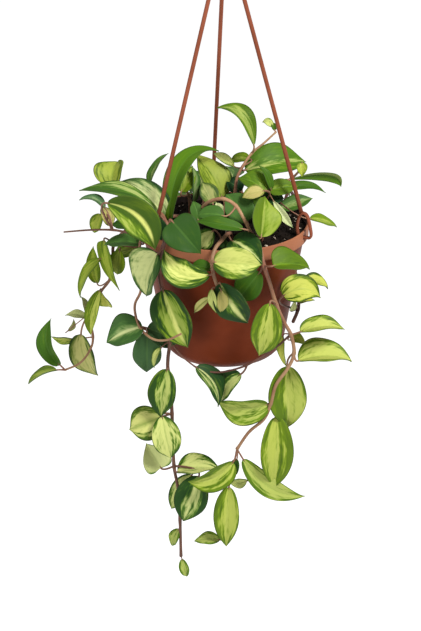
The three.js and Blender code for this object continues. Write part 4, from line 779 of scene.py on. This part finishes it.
def build_pot():
    foot = -POT_HEIGHT + FOOT_HEIGHT
    body = RIM_RADIUS - LIP_STEP
    wall = [
        (0.5, -POT_HEIGHT), (BASE_RADIUS + 1.5, -POT_HEIGHT), (FOOT_RADIUS - 0.6, foot - 2),
        (body, -LIP_HEIGHT - 0.4), (RIM_RADIUS - 0.2, -LIP_HEIGHT), (RIM_RADIUS, 0), (RIM_RADIUS - WALL, 0),
        (RIM_RADIUS - WALL, -LIP_HEIGHT + WALL), (body - WALL, -LIP_HEIGHT + WALL - 0.5),
        (FOOT_RADIUS - WALL, foot), (BASE_RADIUS - WALL, -POT_HEIGHT + WALL), (0.5, -POT_HEIGHT + WALL),
        (0.5, -POT_HEIGHT),
    ]
    soup = Soup()
    profile = rounded(wall, POT_ROUNDING)[:-1]
    lathe(soup, profile, POT_SIDES, looped=True)
    top = max(range(len(profile)), key=lambda k: profile[k][1])
    # The inside faces take the wall material with painted shade
    inner = [int(k > top + 3 and radius > 1) for k, (radius, _) in enumerate(profile)]
    soup.slots = [side for side in inner for _ in range(POT_SIDES)]
    outside = plastic_material("pot_plastic_finish", POT_COLOUR, 0.45, LIP_COLOUR)
    shell = soup.build("pot_shell", [outside, shaded_inner_wall_material()], "pot", "pot_plastic")
    drills = Soup()
    for x, y in circle(DRAIN_RING, DRAIN_HOLES):
        ends = [np.array([x, y, -POT_HEIGHT + z]) for z in (-4.0, 4.0)]
        drills.tube(ends, [DRAIN_RADIUS] * 2, 32)
    corners = ((-1, SLOT_BOTTOM), (1, SLOT_BOTTOM), (1, SLOT_TOP), (-1, SLOT_TOP))
    for azimuth in ROD_AZIMUTHS:
        ends = (SLOT_INSIDE, SLOT_OUTSIDE)
        box = [(radius, side * SLOT_WIDTH / 2, height) for radius in ends for side, height in corners]
        drills.add(turned(box, math.radians(azimuth)), ring_faces(0, 4, 2, close=True))
    cut_out(shell, drills)


def soil_height(x, y):
    mound = SOIL_MOUND * (1 - (x * x + y * y) / RIM_RADIUS**2)
    lump = SOIL_LUMP * math.sin(0.19 * x + 1) * math.cos(0.23 * y + 0.4)
    crumb = 1.3 * noise.noise(Vector((x * 0.16, y * 0.16, 3)))
    crumb += 0.9 * noise.noise(Vector((x * 0.5, y * 0.5, 9)))
    return SOIL_EDGE + mound + lump + crumb


def build_soil():
    material = soil_material()
    edge = RIM_RADIUS - WALL - 0.4
    below = [
        (edge, -LIP_HEIGHT + WALL + 0.3),
        (RIM_RADIUS - LIP_STEP - WALL - 0.5, -LIP_HEIGHT + WALL - 0.1),
        (FOOT_RADIUS - WALL - 0.5, -POT_HEIGHT + FOOT_HEIGHT),
        (BASE_RADIUS - WALL - 0.6, -POT_HEIGHT + WALL + 0.3),
    ]
    points = [(0.0, 0.0, soil_height(0, 0))]
    for k in range(1, SOIL_RINGS + 1):
        points += [(x, y, soil_height(x, y)) for x, y in circle(edge * k / SOIL_RINGS, SOIL_SIDES)]
    for radius, height in below:
        points += [(x, y, height) for x, y in circle(radius, SOIL_SIDES)]
    faces = [(0, 1 + i, 1 + (i + 1) % SOIL_SIDES) for i in range(SOIL_SIDES)]
    faces += [face[::-1] for face in ring_faces(1, SOIL_SIDES, SOIL_RINGS + len(below))]
    faces.append(tuple(len(points) - 1 - i for i in range(SOIL_SIDES)))
    bed = Soup()
    bed.add(points, faces)
    bed.build("soil_bed", [material], "soil", "soil")

    dice = random.Random(7)
    crumbs = Soup()
    for _ in range(CRUMBS):
        radius = edge * math.sqrt(dice.random()) * 0.985
        angle = 2 * math.pi * dice.random()
        x, y = radius * math.cos(angle), radius * math.sin(angle)
        size = 0.5 + 1.5 * dice.random() ** 2.2
        angle = dice.random() * 6.28
        turn = Matrix.Rotation(angle, 3, Vector((dice.random(), dice.random(), 1)).normalized())
        stretch = Vector((1.0 + dice.random(), 0.7 + 0.4 * dice.random(), 0.5 + 0.4 * dice.random()))
        spot = Vector((x, y, soil_height(x, y) + 0.15))
        corners = []
        for corner in OCTAHEDRON:
            shaken = [value * scale * (0.75 + 0.5 * dice.random()) for value, scale in zip(corner, stretch)]
            corners.append(turn @ Vector(shaken) * size + spot)
        grit = int(dice.random() >= SOIL_SHARE)
        crumbs.add(corners, OCTAHEDRON_FACES, [grit] * len(OCTAHEDRON_FACES))
    crumbs.build("soil_crumbs", [material, grit_material()], "soil", "soil", smooth=False)


def squared(value):
    """A sine or cosine pushed outward, which turns a circle into a rounded square."""
    return math.copysign(abs(value) ** 0.5, value)


def add_strap(soup, turn):
    """A rounded flat strap along its bent centre line, in the upright plane of one rod."""
    anchors = [np.array([radius, 0.0, height]) for radius, height in STRAP_LINE]
    spans = len(anchors) - 1
    stops = [catmull(anchors, spans * k / STRAP_STEPS) for k in range(STRAP_STEPS + 1)]
    points = []
    for i, centre in enumerate(stops):
        along = unit(stops[min(i + 1, STRAP_STEPS)] - stops[max(i - 1, 0)])
        out = np.array([along[2], 0.0, -along[0]])
        for k in range(STRAP_SIDES):
            angle = 2 * math.pi * (k + 0.5) / STRAP_SIDES
            wide = squared(math.cos(angle)) * STRAP_WIDTH / 2
            thick = squared(math.sin(angle)) * STRAP_THICKNESS / 2
            points.append(centre + out * thick + np.array([0.0, wide, 0.0]))
    soup.add(turned(points, turn), ring_faces(0, STRAP_SIDES, STRAP_STEPS + 1, close=True))


def build_hanger():
    soup = Soup()
    for azimuth in ROD_AZIMUTHS:
        turn = math.radians(azimuth)
        ends = []
        for height in (ROD_FOOT, HUB_BOTTOM + 4):
            radius = ROD_AIM_RADIUS * (ROD_APEX - height) / (ROD_APEX - ROD_AIM_HEIGHT)
            ends.append(np.array([radius * math.cos(turn), radius * math.sin(turn), height]))
        steps = [ends[0] + (ends[1] - ends[0]) * k / 12 for k in range(13)]
        soup.tube(steps, [ROD_RADIUS] * len(steps), HANGER_SIDES)
        add_strap(soup, turn)
    hub = [
        (0.4, HUB_BOTTOM), (HUB_RADIUS - 1, HUB_BOTTOM), (HUB_RADIUS, HUB_BOTTOM + 2),
        (HUB_RADIUS, HUB_TOP - 4), (HUB_RADIUS - 3, HUB_TOP - 1), (3, HUB_TOP), (0.4, HUB_TOP),
    ]
    lathe(soup, rounded(hub, HUB_ROUNDING), 48)
    wire = [np.array([0.0, 0.0, HUB_TOP - 2])]
    for k in range(HOOK_STEPS + 1):
        angle = math.radians(-90 + (HOOK_END + 90) * k / HOOK_STEPS)
        wire.append(np.array([HOOK_LOOP * math.cos(angle), 0.0, HOOK_CENTRE + HOOK_LOOP * math.sin(angle)]))
    soup.tube(wire, [HOOK_WIRE] * len(wire), HANGER_SIDES)
    material = plastic_material("hanger_plastic", HANGER_COLOUR, 0.34)
    soup.build("hanger_moulding", [material], "hanger", "hanger_plastic")


# Materials


class Value:
    """The output of a node, with plain arithmetic."""

    def __init__(self, nodes, socket):
        self.nodes = nodes
        self.socket = socket

    def __add__(self, other):
        return self.nodes.math("ADD", self, other)

    def __sub__(self, other):
        return self.nodes.math("SUBTRACT", self, other)

    def __mul__(self, other):
        return self.nodes.math("MULTIPLY", self, other)

    def __abs__(self):
        return self.nodes.math("ABSOLUTE", self)

    def clamped(self):
        return self.nodes.math("ADD", self, use_clamp=True)


class Nodes:
    """A short way to write a node material."""

    def __init__(self, name):
        self.material = bpy.data.materials.new(name)
        self.material.use_nodes = True
        self.tree = self.material.node_tree
        self.shader = self.tree.nodes["Principled BSDF"]

    def link(self, value, socket):
        if isinstance(value, Value):
            self.tree.links.new(value.socket, socket)
        else:
            socket.default_value = (*value, 1.0) if isinstance(value, tuple) else value

    def node(self, kind, inputs, output=0, **settings):
        """A new node's output; its inputs are given in order or by name."""
        node = self.tree.nodes.new("ShaderNode" + kind)
        for name, value in settings.items():
            setattr(node, name, value)
        for key, value in inputs.items() if isinstance(inputs, dict) else enumerate(inputs):
            self.link(value, node.inputs[key])
        return Value(self, node.outputs[output])

    def math(self, operation, a, b=0.0, **settings):
        return self.node("Math", (a, b), operation=operation, **settings)

    def split(self, vector):
        node = self.tree.nodes.new("ShaderNodeSeparateXYZ")
        self.link(vector, node.inputs[0])
        return [Value(self, socket) for socket in node.outputs]

    def attribute(self, name):
        return self.split(self.node("Attribute", (), "Vector", attribute_name=name))

    def object_point(self):
        return self.node("TexCoord", (), "Object")

    def noise(self, vector, scale, detail=3.0, roughness=0.6):
        inputs = {"Vector": vector, "Scale": scale, "Detail": detail, "Roughness": roughness}
        return self.node("TexNoise", inputs, "Fac")

    def leaf_noise(self, x, y, z, **settings):
        return self.noise(self.node("CombineXYZ", (x, y, z)), 1.0, **settings) - 0.5

    def ramp(self, value, low, high, start=0.0, end=1.0):
        """Smoothly from start to end while the value goes from low to high."""
        return self.node("MapRange", (value, low, high, start, end), interpolation_type="SMOOTHSTEP")

    def mix(self, share, a, b):
        return self.node("Mix", {"Factor": share, "A": a, "B": b}, "Result", data_type="RGBA")

    def bump(self, height, strength, distance):
        bump = self.node("Bump", {"Strength": strength, "Distance": distance, "Height": height})
        self.link(bump, self.shader.inputs["Normal"])

    def finish(self, colour, roughness, **constants):
        self.link(colour, self.shader.inputs["Base Color"])
        self.link(roughness, self.shader.inputs["Roughness"])
        for name, value in constants.items():
            self.shader.inputs[name.replace("_", " ")].default_value = value
        return self.material


def leaf_material(name, under):
    n = Nodes(name)
    u, v, _ = n.attribute("leaf_place")
    pale, glow, seed = n.attribute("leaf_look")
    dark, milk, lean = n.attribute("leaf_tone")
    tan, streak, rib = n.attribute("leaf_mark")

    # Three patterns that run along the veins: broad patches, long streaks and fine grain
    a = abs(v)
    flow = u - a * 0.42
    x = seed * 61.0
    y = n.math("GREATER_THAN", v, 0.0) * 7.3 + seed * 23.0
    broad = n.leaf_noise(flow * 4.0 + x, a * 1.4 + y, x)
    long = n.leaf_noise(flow * 1.7 + y, v * 4.2 + x, y)
    fine = n.leaf_noise(flow * 14.0 + y, a * 4.0 + x, y, detail=2.0, roughness=0.5)

    # How far a point is inside the cream centre, and what shows through the cream
    # lean moves the cream centre to one half; on some leaves that is painted sheen
    reach = abs(v - lean * 0.8) + broad * 1.1 + long * streak * 2.2 + fine * 0.3
    ends = n.math("POWER", abs(u * 2.0 - 0.95), 3.0)
    inside = pale * (ends * -0.7 + 1.0) - reach
    stain = long * 1.2 + fine * 0.8 + broad * 0.6
    clear = n.ramp(stain * streak, 0.3, -0.06, 0.55, 1.0)
    cream = n.ramp(inside, -0.17, 0.25) * milk * clear
    margin = n.ramp(inside, 0.04, -0.4) * dark

    # The leaf's greens and cream; the yellow ones are partly painted backlight, the grey partly painted sheen
    cool = (glow * -1.0).clamped()
    warm = glow.clamped()
    green = n.mix(warm, n.mix(cool, MID_GREEN, MID_COOL), MID_YELLOW)
    green = n.mix(tan * 0.4, green, TAN)
    deep = n.mix(cool, DARK_WARM, DARK_COOL)
    light = n.mix(warm, n.mix(cool * 0.6, CREAM, CREAM_GREY), CREAM_YELLOW)
    light = n.mix(tan, light, TAN)

    tone = (broad * 0.5 + long * 0.6) * (streak * 0.9 + 0.25)
    colour = n.mix(margin, green, deep)
    colour = n.mix(n.ramp(tone, -0.02, 0.26, 0.0, 0.5), colour, deep)
    colour = n.mix(n.ramp(tone, 0.0, -0.22, 0.0, 0.4), colour, n.mix(cool, MID_YELLOW, MID_COOL))
    colour = n.mix(cream, colour, light)
    colour = n.mix(n.ramp(a, 0.09, 0.02) * 0.22, colour, n.mix(cream, RIB, MID_GREEN))

    # A cream line along the midrib, which widens toward the tip where it is strong, or a green one
    spread = (rib - 1.0).clamped() * u
    from_base = n.ramp(u, 0.0, 0.55, (rib * -1.0 + 2.0).clamped(), 1.0)
    line = n.ramp(a, spread * 0.3 + 0.13, 0.04) * n.ramp(u, 0.98, 0.8) * from_base * clear
    colour = n.mix(line * (rib * 0.8).clamped(), colour, light)
    colour = n.mix(n.ramp(a, 0.3, 0.04) * (rib * -0.8).clamped(), colour, green)

    edge = n.ramp(n.math("MAXIMUM", a, n.ramp(u, 0.93, 1.04)), 0.93, 1.0)
    colour = n.mix(edge * 0.75, colour, EDGE)
    if under:
        colour = n.mix(0.35, colour, UNDER)
    veins = n.math("SINE", broad * 6.0 + flow * 52.0)
    n.bump(n.ramp(veins, 0.7, 1.0) * -0.15 + broad * 0.9, 0.2, 0.0008)
    return n.finish(colour, fine * 0.14 + (0.6 if under else 0.5), Specular_IOR_Level=0.09)


def stem_material():
    n = Nodes("stem_bark")
    bark, green, _ = n.attribute("stem_look")
    point = n.object_point()
    streak = n.noise(point, 260.0)
    patch = n.ramp(n.noise(point, 45.0, 2.0, 0.5), 0.35, 0.65)
    young = n.mix(green, n.mix(patch, *YOUNG_STEM), GREEN_STEM)
    colour = n.mix(bark, young, n.mix(patch, *OLD_STEM))
    colour = n.mix(streak * 0.3, colour, STEM_STREAK)
    n.bump(streak, 0.3, 0.0005)
    return n.finish(colour, 0.5, Specular_IOR_Level=0.2)


def plastic_material(name, colour, roughness, lip=None):
    """Clay-coloured plastic with soft patches; a lip colour fades in over the pot's lip."""
    n = Nodes(name)
    point = n.object_point()
    patch = n.noise(point, 18.0)
    lighter = tuple(value * 1.45 + 0.005 for value in colour)
    tone = n.mix(n.ramp(patch, 0.3, 0.75), colour, lighter)
    if lip:
        top = RIM_TOP - LIP_HEIGHT * MM
        over = n.ramp(n.split(point)[2], top - 0.001, top + 0.002, 0.0, 0.85)
        tone = n.mix(over, tone, n.mix(n.ramp(patch, 0.3, 0.7), lip, tuple(value * 1.25 for value in lip)))
    n.bump(n.noise(point, 600.0, 2.0, 0.6), 0.08, 0.0002)
    return n.finish(tone, patch * 0.16 + (roughness - 0.06), Specular_IOR_Level=0.05)


def shaded_inner_wall_material():
    """The wall inside the pot, painted in dark browns as shade."""
    n = Nodes("inner_wall_painted_shade")
    patch = n.noise(n.object_point(), 60.0, 4.0, 0.65)
    return n.finish(n.mix(n.ramp(patch, 0.35, 0.75), *INNER_WALL_SHADE), 0.7)


def soil_material():
    n = Nodes("soil_finish")
    point = n.object_point()
    lump = n.noise(point, 120.0, 5.0, 0.7)
    fine = n.noise(point, 900.0, 3.0, 0.7)
    colour = n.mix(fine * 0.4, n.mix(lump, *SOIL_COLOURS), SOIL_DUST)
    n.bump(lump + fine, 0.7, 0.0015)
    return n.finish(colour, 0.9, Specular_IOR_Level=0.1)


def grit_material():
    n = Nodes("grit_finish")
    return n.finish(n.mix(n.noise(n.object_point(), 500.0, 3.0, 0.7), *GRIT_COLOURS), 0.85)


# Scene: floor, light and camera


def build_stage():
    glow = {"Emission_Color": (1, 1, 1, 1), "Emission_Strength": FLOOR_GLOW}
    reach = FLOOR_REACH
    corners = [(x * reach, y * reach, FLOOR_HEIGHT) for x, y in ((-1, -1), (1, -1), (1, 1), (-1, 1))]
    mesh = new_mesh("floor", corners, [(0, 1, 2, 3)])
    mesh.materials.append(Nodes("floor_finish").finish(FLOOR_COLOUR, 0.9, **glow))
    new_object("floor", mesh)
    world = bpy.data.worlds.new("studio")
    world.use_nodes = True
    background = world.node_tree.nodes["Background"]
    background.inputs["Color"].default_value = (1, 1, 1, 1)
    background.inputs["Strength"].default_value = WORLD_LIGHT
    bpy.context.scene.world = world


def add_light(name, position, target, size, energy):
    """A round soft light; its place and target are in metres from the rim."""
    data = bpy.data.lights.new(name, "AREA")
    data.shape = "DISK"
    data.size = size
    data.energy = energy
    lamp = new_object(name, data)
    lamp.location = Vector(position) + Vector((0, 0, RIM_TOP))
    aim = Vector(target) + Vector((0, 0, RIM_TOP)) - lamp.location
    lamp.rotation_euler = aim.to_track_quat("-Z", "Y").to_euler()


def build_camera():
    data = bpy.data.cameras.new("photo_camera")
    data.sensor_width = SENSOR
    data.lens = FOCAL_PIXELS / max(PICTURE_WIDTH, PICTURE_HEIGHT) * SENSOR
    data.clip_end = 50
    camera = new_object("photo_camera", data)
    camera.location = to_frame([EYE])[0]
    camera.rotation_euler = (math.pi / 2 - PITCH, 0, 0)
    bpy.context.scene.camera = camera


build_camera()
build_stage()
add_light("key", (0.75, -0.85, 1.15), (0, 0, -0.05), 0.5, KEY_LIGHT)
add_light("fill", (-1.2, -1.0, 0.4), (0, 0, -0.1), 1.2, FILL_LIGHT)
bpy.context.scene.view_settings.view_transform = "Standard"
build_pot()
build_soil()
build_hanger()
build_vines()
